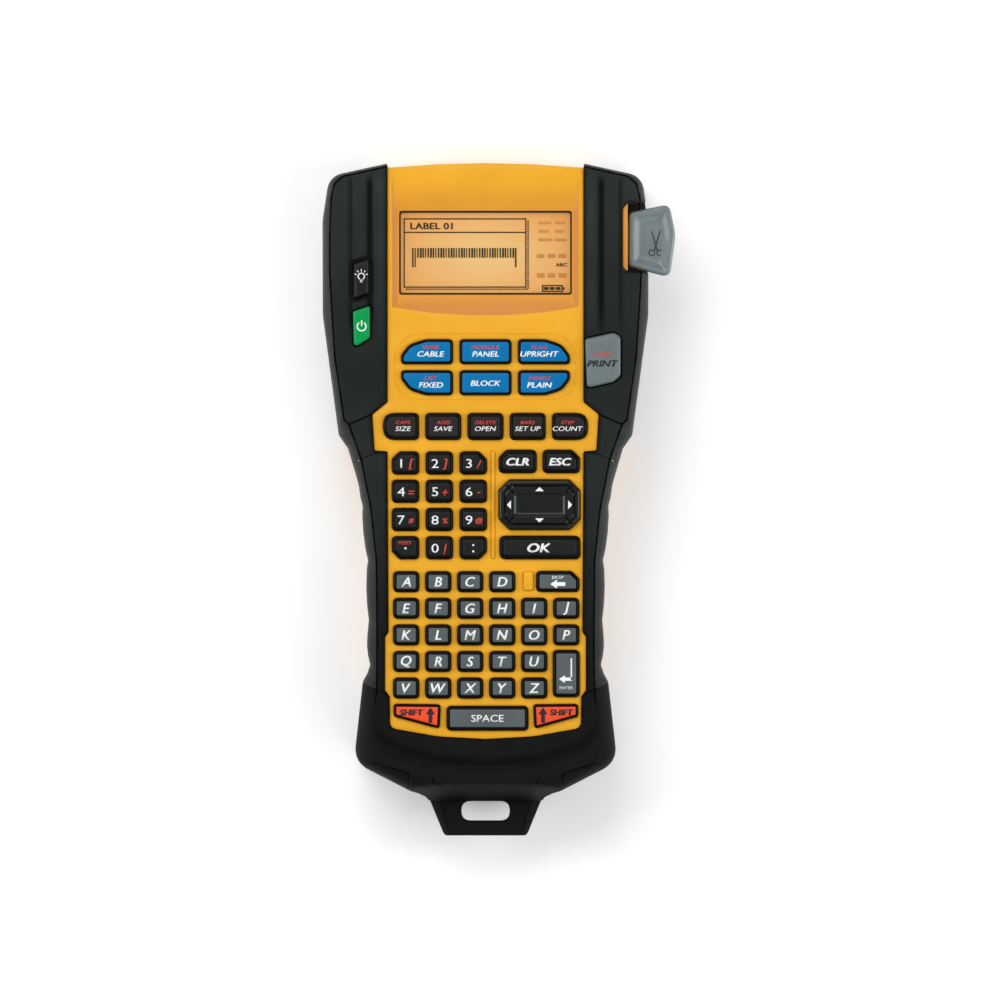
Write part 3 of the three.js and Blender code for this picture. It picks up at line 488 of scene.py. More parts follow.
STEEL = material("steel", (0.56, 0.56, 0.57), 0.28, (700, 0.12), 0.08, metallic=1.0)
BRASS = material("brass", (0.72, 0.48, 0.16), 0.3, (700, 0.1), 0.08, metallic=1.0)
IVORY = material("ivory_plastic", (0.70, 0.67, 0.57), 0.45, (1200, 0.1), 0.05)
BOARD = material("circuit_board", (0.015, 0.14, 0.05), 0.35, (500, 0.15), 0.25)


def display_material():
    """The amber panel: brighter in the middle, where its light spreads."""
    made = bpy.data.materials.new("display_panel")
    made.use_nodes = True
    nodes, links = made.node_tree.nodes, made.node_tree.links
    shader = nodes["Principled BSDF"]
    shader.inputs["Roughness"].default_value = 0.35
    shader.inputs["Emission Strength"].default_value = 0.3
    where = nodes.new("ShaderNodeTexCoord")
    scaled = nodes.new("ShaderNodeMapping")
    low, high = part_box("display_window")
    middle = (low + high) / 2
    size = high - low
    across, along = 1.6 / size.x, 1.5 / size.y
    scaled.inputs["Location"].default_value = (-middle.x * across, -(middle.y - 0.001) * along, 0)
    scaled.inputs["Scale"].default_value = (across, along, 0)
    ball = nodes.new("ShaderNodeTexGradient")
    ball.gradient_type = "SPHERICAL"
    cells = nodes.new("ShaderNodeTexNoise")
    cells.inputs["Scale"].default_value = 120
    tint = nodes.new("ShaderNodeValToRGB")
    first, last = tint.color_ramp.elements
    first.position, last.position = 0.0, 0.85
    first.color = (0.60, 0.25, 0.05, 1)
    last.color = (0.62, 0.385, 0.14, 1)
    mixed = nodes.new("ShaderNodeMath")
    mixed.operation = "MULTIPLY_ADD"
    mixed.inputs[1].default_value = 0.12
    links.new(where.outputs["Object"], scaled.inputs["Vector"])
    links.new(scaled.outputs["Vector"], ball.inputs["Vector"])
    links.new(where.outputs["Object"], cells.inputs["Vector"])
    links.new(cells.outputs["Fac"], mixed.inputs[0])
    links.new(ball.outputs["Fac"], mixed.inputs[2])
    links.new(mixed.outputs["Value"], tint.inputs["Fac"])
    links.new(tint.outputs["Color"], shader.inputs["Base Color"])
    links.new(tint.outputs["Color"], shader.inputs["Emission Color"])
    return made


def window_material():
    made = material("display_window", (0.95, 0.66, 0.30), 0.12, (300, 0.01), 0.02, specular=0.2)
    shader = made.node_tree.nodes["Principled BSDF"]
    shader.inputs["Alpha"].default_value = 0.025
    made.surface_render_method = "BLENDED"
    return made


DISPLAY = display_material()
WINDOW = window_material()


# ------------------------------------------------------------------ legends
CAPITAL_SHARE = 0.72  # a capital's height, as a share of the typeface's size


def lettering(name, text, x, y, z, height, ink, shear=0.0, weight=0.0, stretch=1.0):
    """Text as thin raised print, centred on a point. Weight thickens its strokes."""
    curve = bpy.data.curves.new(name, "FONT")
    curve.body = text
    curve.align_x, curve.align_y = "CENTER", "CENTER"
    curve.size = height / CAPITAL_SHARE
    curve.resolution_u = 3
    curve.shear = shear
    curve.extrude = PRINT_HALF
    maker = bpy.data.objects.new(name, curve)
    bpy.context.scene.collection.objects.link(maker)
    bpy.context.view_layer.update()
    mesh = bpy.data.meshes.new_from_object(maker.evaluated_get(bpy.context.evaluated_depsgraph_get()))
    bpy.data.objects.remove(maker)
    points = np.zeros(len(mesh.vertices) * 3)
    mesh.vertices.foreach_get("co", points)
    points = points.reshape(-1, 3)
    middle = (points.max(axis=0) + points.min(axis=0)) / 2
    points = (points - middle) * (stretch, 1, 1) + (x, y, z)
    faces = [tuple(face.vertices) for face in mesh.polygons]
    bpy.data.meshes.remove(mesh)
    vertices, all_faces = [], []
    copies = [(-weight, -weight / 2, 0), (weight, -weight / 2, 0.003), (0, weight / 2, 0.006)]
    for i, shift in enumerate(copies if weight else copies[:1]):
        vertices.append(points + shift)
        all_faces += [tuple(v + i * len(points) for v in face) for face in faces]
    obj = finished(name, np.concatenate(vertices), all_faces, [ink])
    closed = bmesh.new()
    closed.from_mesh(obj.data)
    bmesh.ops.remove_doubles(closed, verts=closed.verts, dist=0.000001)
    closed.to_mesh(obj.data)
    closed.free()
    return obj


def bar(name, corners, low, high, ink):
    """A thin printed or moulded shape with square edges."""
    return layered(name, corners, [(0, low, 0), (0, high, 0)], [ink], steps=3)


def printed(name, corners, z, ink):
    """A flat printed shape, centred on a height."""
    return bar(name, corners, z - PRINT_HALF, z + PRINT_HALF, ink)


def polygon(points):
    """A clockwise list of sharp corners from points in either direction."""
    area = sum(a[0] * b[1] - b[0] * a[1] for a, b in zip(points, points[1:] + points[:1]))
    ordered = points if area < 0 else points[::-1]
    return [(x, y, 0) for x, y in ordered]


def circle_line(name, x, y, radius, width, z, ink, start=0.0, sweep=360.0):
    """A printed ring or arc."""
    closed = sweep >= 360
    steps = 28
    angles = [math.radians(start + sweep * i / steps) for i in range(steps + (0 if closed else 1))]
    vertices, faces = [], []
    for height in (z - PRINT_HALF, z + PRINT_HALF):
        for r in (radius - width / 2, radius + width / 2):
            vertices += [(x + r * math.cos(a), y + r * math.sin(a), height) for a in angles]
    n = len(angles)
    for i in range(n if closed else n - 1):
        j = (i + 1) % n
        faces += [(i + 2 * n, i + 3 * n, j + 3 * n, j + 2 * n), (i, j, j + n, i + n)]
        faces += [(i + n, j + n, j + 3 * n, i + 3 * n), (i, i + 2 * n, j + 2 * n, j)]
    if not closed:
        faces += [(0, n, 3 * n, 2 * n), (n - 1, 3 * n - 1, 4 * n - 1, 2 * n - 1)]
    return finished(name, vertices, faces, [ink])


# ------------------------------------------------------------------ keys
def key_cap(name, corners, top, face, rim_width=1.0, base=50.0):
    """A key with a dark rubber rim round a slightly raised face."""
    crown = 0.08
    layers = [
        (0.0, base, 0),
        (0.0, top - 0.95, 0),
        (0.1, top - 0.65, 0),
        (0.32, top - 0.4, 0),
        (rim_width * 0.72, top - 0.22, 0),
        (rim_width * 0.95, top - 0.26, 0),
        (rim_width, top - 0.34, 0),
        (rim_width + 0.06, top - 0.14, 1),
        (rim_width + 0.2, top - 0.03, 1),
        (rim_width + 0.5, top + crown * 0.6, 1),
        (rim_width + 1.0, top + crown, 1),
    ]
    return layered(name, corners, layers, [BLACK, face], top_material=1)


LETTERS = {"rows": (4, 6, 6, 5, 5), "x": -31.7, "y": -64.7, "dx": 12.8, "dy": 10.63, "w": 9.9, "h": 7.9}
NUMBERS = {"rows": (3, 3, 3, 3), "x": -32.0, "y": -17.2, "dx": 13.55, "dy": 11.3, "w": 10.4, "h": 8.8}
HOT = {"dx": 23.4, "w": 20.2, "h": 9.5, "rows": (27.3, 14.9)}
FUNCTION = {"dx": 16.9, "y": -2.6, "w": 13.8, "h": 10.3}
NAV = {"x": 21.6, "y": -33.9, "w": 32.2, "h": 19.8, "corner": 4.2}
NUMBER_CHAMFER = 3.0


def grid_places(grid):
    for row, count in enumerate(grid["rows"]):
        for column in range(count):
            yield column, row, grid["x"] + column * grid["dx"], grid["y"] - row * grid["dy"]


def clipped_rectangle(x, y, w, h, radius, corner, cut):
    """A rectangle with one corner cut off; corner 0 is top left and they count clockwise."""
    corners = rectangle(x, y, w, h, radius)
    cx, cy, _ = corners[corner]
    before, after = corners[corner - 1], corners[(corner + 1) % 4]
    (bx, by), (ax, ay) = [(np.sign(x1 - cx), np.sign(y1 - cy)) for x1, y1, _ in (before, after)]
    pair = [(cx + bx * cut, cy + by * cut, 1.2), (cx + ax * cut, cy + ay * cut, 1.2)]
    return corners[:corner] + pair + corners[corner + 1 :]


def number_outline(column, row, x, y):
    """A number key, with one corner cut where it is at a corner of the block."""
    outer = {(0, 0): 0, (2, 0): 1, (2, 3): 2, (0, 3): 3}.get((column, row))
    if outer is None:
        return rectangle(x, y, NUMBERS["w"], NUMBERS["h"], 1.8)
    return clipped_rectangle(x, y, NUMBERS["w"], NUMBERS["h"], 1.8, outer, NUMBER_CHAMFER)


def hot_outline(column, row):
    """A hot key, with one corner swept where it is at an end of the oval."""
    x, y = (column - 1) * HOT["dx"], HOT["rows"][row]
    corners = rectangle(x, y, HOT["w"], HOT["h"], 1.6)
    swept = {(0, 0): 0, (2, 0): 1, (2, 1): 2, (0, 1): 3}.get((column, row))
    if swept is None:
        return corners
    cx, cy, _ = corners[swept]
    across, down = (1 if column == 0 else -1), (-1 if row == 0 else 1)
    sweep = [
        (cx, cy + down * 6.3, 3.0),
        (cx + across * 3.2, cy + down * 2.1, 6.0),
        (cx + across * 9.6, cy, 8.0),
    ]
    if (column, row) in ((2, 0), (0, 1)):
        sweep.reverse()
    return corners[:swept] + sweep + corners[swept + 1 :]


def function_outline(column):
    """A function key, with a round end where it is at an end of the row."""
    corners = rectangle((column - 2) * FUNCTION["dx"], FUNCTION["y"], FUNCTION["w"], FUNCTION["h"], 1.8)
    round_ends = {0: (0, 3), 4: (1, 2)}.get(column, ())
    return [(x, y, 4.6 if i in round_ends else r) for i, (x, y, r) in enumerate(corners)]


SHIFT_LEFT = [(-36.4, -113.8, 1), (-18.2, -114, 1), (-18.6, -123.2, 1), (-36.4, -118.4, 1)]
SHIFT_RIGHT = [(19.4, -114, 1), (36.8, -113.8, 1), (36.8, -118.4, 1), (19.8, -123.2, 1)]
FACE_KEYS = {
    "clear_key": clipped_rectangle(12.9, -16.6, 14.6, 8.9, 2, 0, 3),
    "escape_key": clipped_rectangle(30.3, -16.6, 14.4, 8.9, 2, 1, 3),
    "ok_key": rectangle(21.8, -51, 31.8, 8.9, 2.2),
    "backspace_key": clipped_rectangle(28.9, -64.6, 16.8, 7.9, 1.8, 1, 3),
    "enter_key": rectangle(32.3, -101.4, 10.2, 18.4, 1.8),
    "space_key": rectangle(0.8, -119.3, 32.2, 9.4, 1.8),
    "shift_key_left": SHIFT_LEFT,
    "shift_key_right": SHIFT_RIGHT,
}
POWER_KEY = [(-53, 43.4, 0.8), (-46.2, 45.7, 0.8), (-46.2, 32.9, 1.5), (-52.6, 28.8, 1.5)]
BACKLIGHT_KEY = [(-52.7, 62.6, 0.6), (-46.6, 64.6, 0.6), (-46.6, 50.6, 0.6), (-52.7, 48.4, 0.6)]
PRINT_KEY = [(39.8, 32.4, 1.4), (51.6, 35, 3), (54, 33, 2), (54, 17.6, 3), (51, 15.2, 2), (40.6, 12.8, 1.6)]

# ------------------------------------------------------------------ case front
CASE = subdivided(rounded(inset(mirrored(SILHOUETTE_HALF), 3), 8), 2.2)
CASE_END = -143
POCKET = {"x": 56.6, "low": 58.8, "high": 87.6, "floor": 22.0}
DISPLAY_Y = 66.95
DISPLAY_HOLE = rounded(rectangle(0, DISPLAY_Y, 69.2, 33.7, 1.2), 4)
PAN_X = 37.6
PAN_TOP = 98.5
PAN_RISE = 84  # above here the pan's floor slopes up to its top edge
PAN_FOOT = 49.6  # below here it slopes up to the arc
PAN_SIDE = 2.4  # width of its sloping sides


def pan_side(y):
    """The inner edge of the pan's sloping side, which tapers out at its top corner."""
    return PAN_X - np.interp(y, [PAN_RISE, PAN_TOP], [PAN_SIDE, 0.25])


def in_pocket(points):
    x, y = points[:, 0], points[:, 1]
    return (x > POCKET["x"]) & (y > POCKET["low"]) & (y < POCKET["high"])


def pan_arc(x):
    """The pan's lower edge."""
    return 41.6 + 3.4 * (x / PAN_X) ** 2


def moving_keys():
    """The outlines of the keys in the plate that have their own joints."""
    keys = dict(FACE_KEYS)
    for column in range(3):
        for row in range(2):
            keys[f"hot_key_{row * 3 + column + 1}"] = hot_outline(column, row)
    for column in range(5):
        keys[f"function_key_{column + 1}"] = function_outline(column)
    return keys


NAV_OUTLINE = chamfered(NAV["x"], NAV["y"], NAV["w"], NAV["h"], NAV["corner"])
MOVING = moving_keys()
LETTER_OUTLINES = [rectangle(x, y, LETTERS["w"], LETTERS["h"], 1.8) for _, _, x, y in grid_places(LETTERS)]
NUMBER_OUTLINES = [number_outline(c, r, x, y) for c, r, x, y in grid_places(NUMBERS)]
PLATE_HOLES = [
    rounded(inset(corners, -KEY_GAP), 4)
    for corners in [*MOVING.values(), *LETTER_OUTLINES, *NUMBER_OUTLINES, NAV_OUTLINE]
]
GUARD_HOLES = {
    "power_key": rounded(inset(POWER_KEY, -0.7), 4),
    "backlight_key": rounded(inset(BACKLIGHT_KEY, -0.7), 4),
    "print_key": rounded(inset(PRINT_KEY, -0.7), 5),
}
# The groove round the hot keys.
OVAL = subdivided(rounded(rectangle(0, 21, 72.4, 26.4, 11.5), 10), 1.6)
OVAL_LINES = [closed_line(OVAL, d) for d in (-GROOVE / 2, -0.2, 0.2, GROOVE / 2)]
RIDGES = {
    "keypad_divider": rectangle(3.0, -33.9, 1.4, 43.0, 0.65),
    "tactile_bar": rectangle(17.1, -64.4, 3.9, 7.4, 1.0),
}
RIDGE_LINES = [
    closed_line(loop, d)
    for loop in (subdivided(rounded(ridge, 5), 1.4) for ridge in RIDGES.values())
    for d in (-GROOVE / 2, -0.2, 0.05)
]


def cover_region(points):
    keep = (inside(points, CASE) | inside(points, PLATE)) & (points[:, 1] > CASE_END)
    return keep & outside(points, [*PLATE_HOLES, *GUARD_HOLES.values(), DISPLAY_HOLE]) & ~in_pocket(points)


def cover_front(points):
    """The plate, with a rounded edge, softened holes, the sunk pan and the engraved lines."""
    x, y = np.abs(points[:, 0]), points[:, 1]
    height = FACE_Z - fall(distance_to(points, PLATE), 0.55)
    height = height - 0.25 * np.clip(1 - nearest(points, PLATE_HOLES) / 0.45, 0, 1) ** 2
    depth = FACE_Z - PAN_Z
    slope = np.interp(y, [PAN_FOOT, PAN_RISE, PAN_TOP], [PAN_Z, PAN_Z, FACE_Z])
    foot = np.clip((PAN_FOOT - y) / np.maximum(PAN_FOOT - pan_arc(x), 0.1), 0, 1)
    slope = np.where(y < PAN_FOOT, PAN_Z + depth * foot, slope)
    side_wall = PAN_Z + depth * np.clip((x - pan_side(y)) / (PAN_X - pan_side(y)), 0, 1)
    slope = np.maximum(slope, side_wall)
    in_pan = (x < PAN_X) & (y < PAN_TOP) & (y > pan_arc(x))
    height = np.where(in_pan, np.minimum(height, slope), height)
    height = height - groove(distance_to(points, OVAL), GROOVE, 0.42)
    for ridge in RIDGES.values():
        height = height - groove(distance_to(points, rounded(ridge, 5)), GROOVE, 0.4)
    return np.where(inside(points, PLATE), height, 51.6)


def cover_painted_shade(points):
    """Painted shade: 1 on the plate, less in the pan, and 0 on the pan's sloping sides and foot."""
    x, y = np.abs(points[:, 0]), points[:, 1]
    pan = np.clip((PAN_X - x) / 0.35, 0, 1) * np.clip((y - pan_arc(x)) / 0.4, 0, 1) * (y < PAN_TOP)
    rise = smooth(y, PAN_RISE, PAN_TOP)
    sloped = np.clip((x - pan_side(y)) / 0.2, 0, 1)
    floor_tone = 0.5 + 0.5 * rise - 0.35 * (1 - smooth(y, 45, 50.5))
    side_tone = 0.5 + 0.5 * rise - (0.35 - 0.1 * rise) * sloped
    return 1 - pan * (1 - np.where(x > pan_side(y), side_tone, floor_tone))


def cover_paint(points):
    """Index 1 is the hidden flange under the rubber, in painted seam shadow where a seam shows it."""
    return np.where(inside(points, PLATE), 0, 1)


def cover_back(points):
    """The plate's underside, with a wall down the case's edge and at the head's top."""
    low = np.where(inside(points, PLATE), 50.4, 49.4)
    wall = (distance_to(points, CASE) < 2.4) & inside(points, CASE)
    crown = (distance_to(points, PLATE) < 2.4) & (points[:, 1] > 96)
    return np.where(wall | crown, 38.0, low)


def line(*points, step=1.6):
    """A crease through some points."""
    return subdivided(np.array(points, float), step, closed=False)


def level(y):
    """A crease across the whole object."""
    return line((-60, y), (60, y))


pan_lines = [
    line((-PAN_X, PAN_TOP), (PAN_X, PAN_TOP)),
    line((-34, PAN_RISE), (34, PAN_RISE)),
    line((-36.8, PAN_FOOT), (36.8, PAN_FOOT)),
    *[line((x, 45.2), (x, PAN_TOP)) for x in (-PAN_X, PAN_X)],
    *[line((s * pan_side(0), 47), (s * pan_side(0), PAN_RISE), (s * (PAN_X - 0.3), 98.2)) for s in (-1, 1)],
    *[line((s * (PAN_X - 2.2), 47), (s * (PAN_X - 2.2), PAN_RISE)) for s in (-1, 1)],
    *[line((s * (PAN_X - 0.35), 45.2), (s * (PAN_X - 0.35), 97.4)) for s in (-1, 1)],
    *[np.array([(x, pan_arc(x) + up) for x in np.linspace(-PAN_X, PAN_X, 48)]) for up in (0, 0.4)],
]


def pocket_line(grow):
    """The pocket's outline, moved outwards."""
    left, low, high = POCKET["x"] - grow, POCKET["low"] - grow, POCKET["high"] + grow
    return line((70, low), (left, low), (left, high), (70, high))


cover = relief(
    "front_cover_shell",
    [PLATE, CASE, DISPLAY_HOLE, *PLATE_HOLES, *GUARD_HOLES.values()],
    cover_region,
    cover_front,
    cover_back,
    [
        *pan_lines,
        closed_line(PLATE, 0.02),
        *OVAL_LINES,
        *RIDGE_LINES,
        pocket_line(0),
        level(CASE_END),
    ],
    3.0,
    [(0.25, 1.6), (0.6, 2.0)],
    [FRONT_YELLOW_PAINTED_SHADE, SEAM],
    cover_paint,
    cover_painted_shade,
)
placed(cover, "case", "yellow_plastic", "front_cover")

for name, low, high in (("keypad_divider", 53.3, 54.6), ("tactile_bar", 53.3, 54.9)):
    ridge = [(0, low, 0), (0, high - 0.35, 0), (0.12, high - 0.12, 0), (0.32, high, 0)]
    placed(layered(name, RIDGES[name], ridge, [YELLOW]), "case", "yellow_plastic")
wall_outline = [(54.75, 85.0, 2.2), (56.85, 87.0, 0.3), (56.85, 59.4, 0.3), (54.75, 61.0, 2.2)]
pocket_ridge = [(0, POCKET["floor"] + 0.2, 0), (0, 53.2, 0), (0.15, 53.5, 0), (0.4, 53.7, 0)]
placed(layered("pocket_wall", wall_outline, pocket_ridge, [POCKET_YELLOW]), "case", "yellow_plastic")
WALL_CLEAR = rounded(inset(wall_outline, -0.12), 5)
LINING_TOP = 53.5
LINING_FLOOR = POCKET["floor"] + 0.5
lining = [
    bar(name, rectangle(58.9, y, 3.8, height, 0), POCKET["floor"] + 0.1, top, PLAIN_RUBBER)
    for name, y, height, top in (
        ("lining_top", 87.3, 0.4, LINING_TOP),
        ("lining_foot", 59.1, 0.4, LINING_TOP),
        ("lining_floor", 73.2, 27.6, LINING_FLOOR),
    )
]
placed(joined("pocket_lining", lining), "case", "black_rubber")

# ------------------------------------------------------------------ rubber guards
# Where the flat front of the rubber ends and its rounded side begins.
FACE_HALF = [
    (0, 101.6),
    (39.4, 101.3),
    (57.0, 97.4),
    (60.4, 94.4),
    (61.7, 89.0),
    (62.3, 74.0),
    (62.3, 60.0),
    (61.7, 48.0),
    (60.2, 25.0),
    (56.6, 0.2),
    (54.6, -1.8),
    (49.7, -15.7),
    (45.9, -35.0),
    (43.6, -56.0),
    (43.3, -88.0),
    (43.5, -107.0),
    (45.4, -128.0),
    (43.8, -136.0),
    (40.0, -138.6),
    (28.5, -141.6),
    (19.0, -146.0),
    (0, -146.4),
]
face_right = subdivided(np.array(FACE_HALF), 1.8, closed=False)
face_left = face_right[face_right[:, 0] > 0][::-1] * (-1, 1)
FACE_LOOP = np.vstack([face_right, face_left])
PLATE_CLEAR = offset_path(PLATE, -GAP)
SLOT = rounded([(x, y, 3.9) for x, y, _ in rectangle(0, -157, 19.4, 8, 0)], 6)
# How deep the sides are cut in, up the body: the bumper's notches, then the finger swells of the grip.
SCALLOPS = [(-152.2, 0), (-151.2, 1.3), (-149.4, 1.3), (-148.8, 0), (-104.5, 0), (-101.5, 0.9), (-98, 1.2)]
SCALLOPS += [(-94, 0.35), (-90, 0), (-86, 0.25), (-80, 0.85), (-74, 0.25), (-67, 0), (-60, 0.25), (-56, 0.85)]
SCALLOPS += [(-52, 0.25), (-45, 0), (-38, 0.25), (-34.5, 0.8), (-31, 0.2), (-26, 0), (-21, 0)]


def scalloped(loop):
    """The silhouette with the finger swells of the grips."""
    moved = loop.copy()
    moved[:, 0] -= np.sign(loop[:, 0]) * np.interp(loop[:, 1], *zip(*SCALLOPS))
    return moved


OUTER = scalloped(subdivided(SILHOUETTE, 1.1))
HEAD_INNER_X = 39.5


def upper_seam(x):
    """The height of the seam between the guards of the head and the grips."""
    return np.interp(np.abs(x), [30, 41, 45, 60], [-12.9, -12.9, -13.6, -20.2])


def lower_seam(x):
    """The height of the seam between the grips and the bumper."""
    return np.interp(np.abs(x), [30, 38.8, 60], [-109.9, -109.9, -101])


def seam_paths(seam, sign):
    """The two edges of a seam, on one side."""
    across = np.linspace(36, 70, 22)
    return [np.column_stack([sign * across, seam(across) + up]) for up in (SEAM_GAP, -SEAM_GAP)]


def rubber(points):
    """Where there is rubber at all: round the plate, and open above it."""
    over_plate = (np.abs(points[:, 0]) < HEAD_INNER_X) & (points[:, 1] > 95)
    return inside(points, OUTER) & ~inside(points, PLATE_CLEAR) & ~over_plate


def rubber_front(points):
    """The front of the rubber: a flat face that rolls over to its side."""
    y = points[:, 1]
    edge = distance_to(points, OUTER)
    beyond = np.where(inside(points, FACE_LOOP), 0, distance_to(points, FACE_LOOP))
    share = np.clip(beyond / np.maximum(beyond + edge, 1e-6), 0, 1)
    depth = np.interp(y, [-150, -138, -128, -105, -20, 0, 90, 100], [10, 9, 8, 7, 7, 6.5, 6.5, 3])
    height = GUARD_Z - depth * (1 - np.sqrt(np.maximum(1 - share**2, 0)))
    return height - 0.7 * np.clip(1 - distance_to(points, PLATE_CLEAR) / 0.7, 0, 1) ** 2


VALLEY_X = 46.3
LEDGE_X = 53.7


def flutes(points):
    """Soft upright valleys in the upper panels, which die out towards the print key."""
    x, y = np.abs(points[:, 0]), points[:, 1]
    fade = smooth(y, 33, 47) * (1 - smooth(y, 94.5, 98.5))
    valley = groove(np.abs(x - VALLEY_X), 3.8, 1.5)
    ledge = groove(np.abs(x - LEDGE_X), 2.2, 0.7)
    return (valley + ledge) * fade


def seam_distance(points, path):
    """The distance of points on either side to a path on the right and its mirror image."""
    return distance_to(np.column_stack([np.abs(points[:, 0]), points[:, 1]]), path, closed=False)


def seam_groove(points, path, width, depth):
    return groove(seam_distance(points, path), width, depth)


FACE_LINE = FACE_HALF[1:-1]
HOLLOW_HALF = [(0, -134.5), (19, -133.2), (34, -128.8), (41.5, -123.5), (45.6, -116.0)]
HOLLOW_HALF += [(46.4, -127), (43.2, -134), (31, -139.2), (20, -141.5), (0, -142.5)]
HOLLOW = subdivided(np.array(HOLLOW_HALF + [(-x, y) for x, y in HOLLOW_HALF[-2:0:-1]]), 2.0)
PAD_LINE = [(46.2, -139.4), (44.2, -137.2), (30.8, -141.6), (30.4, -149.2)]
TAB_LINE = [(21.2, -143.5), (14.6, -164.4)]
BUMPER_LINE = 1.0
# The steep face from the bumper down to the lanyard tab, as places in Y and their heights.
BUMPER_STEP = [(-153.2, TAB_Z), (-151.6, 37), (-147.2, 52), (-145.4, 56)]
TAB_TOP = -152.5


def tab_side(y):
    """The crease between the tab's face and its sloping sides."""
    return np.interp(y, [-165, -143.5], [14.4, 21.2])


def bumper_shape(points):
    """How far the bumper's front sinks: a hollow below the case, raised pads, and the tab's sides."""
    x, y = np.abs(points[:, 0]), points[:, 1]
    hollow = np.where(inside(points, HOLLOW), smooth(distance_to(points, HOLLOW), 0, 4.2), 0)
    lines = sum(seam_groove(points, path, BUMPER_LINE, 0.6) for path in (PAD_LINE, TAB_LINE))
    sides = np.clip((x - tab_side(y)) / 3.0, 0, 1) * (1 - smooth(y, -150.5, -146.5)) * (x < 26)
    return np.where(y < -110, 1.7 * hollow + lines + 1.8 * sides, 0)


RECESS = 0.9  # width of the ledge round the backlight key


def guard_front(points):
    """The front of the rubber with its seams, valleys, bumper, lanyard tab, pocket and key recess."""
    y = points[:, 1]
    height = rubber_front(points) - flutes(points) - bumper_shape(points)
    height -= seam_groove(points, FACE_LINE, GROOVE, 0.5) * smooth(y, -118, -108)
    height -= seam_groove(points, COLLAR_SEAM, COLLAR_GROOVE, 0.45)
    height = np.minimum(height, np.interp(y, *zip(*BUMPER_STEP)))
    edges = fall(distance_to(points, OUTER), 1.4) + fall(distance_to(points, SLOT), 0.8)
    height = np.where(y < TAB_TOP, TAB_Z - bumper_shape(points) - edges, height)
    height = np.where(in_pocket(points), POCKET["floor"] + 0.4, height)
    recess = distance_to(points, GUARD_HOLES["backlight_key"])
    return np.where(recess < RECESS, 53.8, height)


def guard_back(points):
    """The back of the rubber: down the sides to the back of the case, and shallow over its front."""
    y = points[:, 1]
    wall = distance_to(points, OUTER) < GUARD_WALL
    back = back_height(y)
    tab_back = np.interp(y, [-152, -148], [20, 0])
    low = np.where(wall, back, GUARD_BASE_Z)
    low = np.where(y < CASE_END, tab_back, low)
    return np.where(in_pocket(points) & ~wall, POCKET["floor"] - 1.6, low)


def guard_paint(points):
    """Index 1 is the darker side band, and index 2 the seam lines, in painted seam shadow."""
    band = ~inside(points, FACE_LOOP) & (points[:, 1] > lower_seam(points[:, 0]))
    kind = np.where(band, 1, 0)
    on_line = (seam_distance(points, FACE_LINE) < 0.3) | (seam_distance(points, COLLAR_SEAM) < 0.28)
    return np.where(on_line & (points[:, 1] > -114), 2, kind)


def sided(paths, sign):
    """Paths on the right, put on the side named by sign."""
    return [np.column_stack([sign * p[:, 0], p[:, 1]]) for p in paths]


FACE_LINES = groove_paths(FACE_LINE, GROOVE)
SEAM_LINES = FACE_LINES + groove_paths(COLLAR_SEAM, COLLAR_GROOVE)
FLUTE_X = [VALLEY_X + across for across in (-1.8, -1.1, -0.5, 0, 0.5, 1.1, 1.8)]
FLUTE_X += [LEDGE_X + across for across in (-1, -0.5, 0, 0.5, 1)]
FLUTE_LINES = [line((x, 33), (x, 98)) for x in FLUTE_X] + [line((HEAD_INNER_X, 94), (HEAD_INNER_X, 106))]
GUARD_RINGS = [(0.3, 1.3), (0.9, 1.3), (1.8, 1.5)]
# How light the rubber is painted up the body, as painted light and shade: places in Y and shades.
PAINTED_SHADE_ALONG = [(-168, 0.12), (-150, 0.06), (-138, 0.14), (-120, 0.12), (-108, 0.10), (-60, 0.42)]
PAINTED_SHADE_ALONG += [(-20, 0.75), (-5, 0.7), (20, 0.5), (50, 0.62), (100, 0.95)]


def guard_painted_shade(points):
    """Painted light and shade on the rubber: greyest at the head and nearly black at the bumper, with painted
    shade in the valleys, the ledges, the hollow and along the plate, and painted highlights on the inner
    strip and the rolled side.
    """
    x, y = np.abs(points[:, 0]), points[:, 1]
    along = np.interp(y, *zip(*PAINTED_SHADE_ALONG))
    fade = smooth(y, 30, 44) * (1 - smooth(y, 95, 99))
    valley = 1 - 0.85 * groove(np.abs(x - VALLEY_X), 4.2, 1.0) * fade
    ledge = 1 - 0.5 * groove(np.abs(x - LEDGE_X - 0.5), 2.6, 1.0) * fade
    strip = 1 + 0.35 * (1 - smooth(x, 43.2, 45.2)) * fade
    beyond = np.where(inside(points, FACE_LOOP), 0, distance_to(points, FACE_LOOP))
    rim = 1 - 0.75 * np.clip(1 - distance_to(points, PLATE_CLEAR) / 1.6, 0, 1)
    hollow = np.where(inside(points, HOLLOW), 1 - smooth(distance_to(points, HOLLOW), 0, 4.2), 1)
    tone = along * valley * ledge * strip * rim * (0.1 + 0.9 * hollow) * (1 + 0.5 * smooth(beyond, 0.4, 2.0))
    return np.clip(tone / 1.5, 0, 1)


def guard(name, region, holes, creases, node):
    """One piece of the rubber, in place of its CAD node."""
    made = relief(
        name,
        [OUTER, PLATE_CLEAR, *holes],
        lambda p: rubber(p) & region(p),
        guard_front,
        guard_back,
        creases,
        1.7,
        GUARD_RINGS,
        [RUBBER, RUBBER_BAND, SEAM],
        guard_paint,
        guard_painted_shade,
    )
    return placed(made, "case", "black_rubber", node)


def upper_region(sign, holes):
    """Which points are in a guard of the head, as a function for relief."""

    def region(points):
        keep = (points[:, 0] * sign > 36) & (points[:, 1] > upper_seam(points[:, 0]) + SEAM_GAP)
        if sign > 0:
            keep &= ~inside(points, WALL_CLEAR) | in_pocket(points)
        return keep & outside(points, holes)

    return region


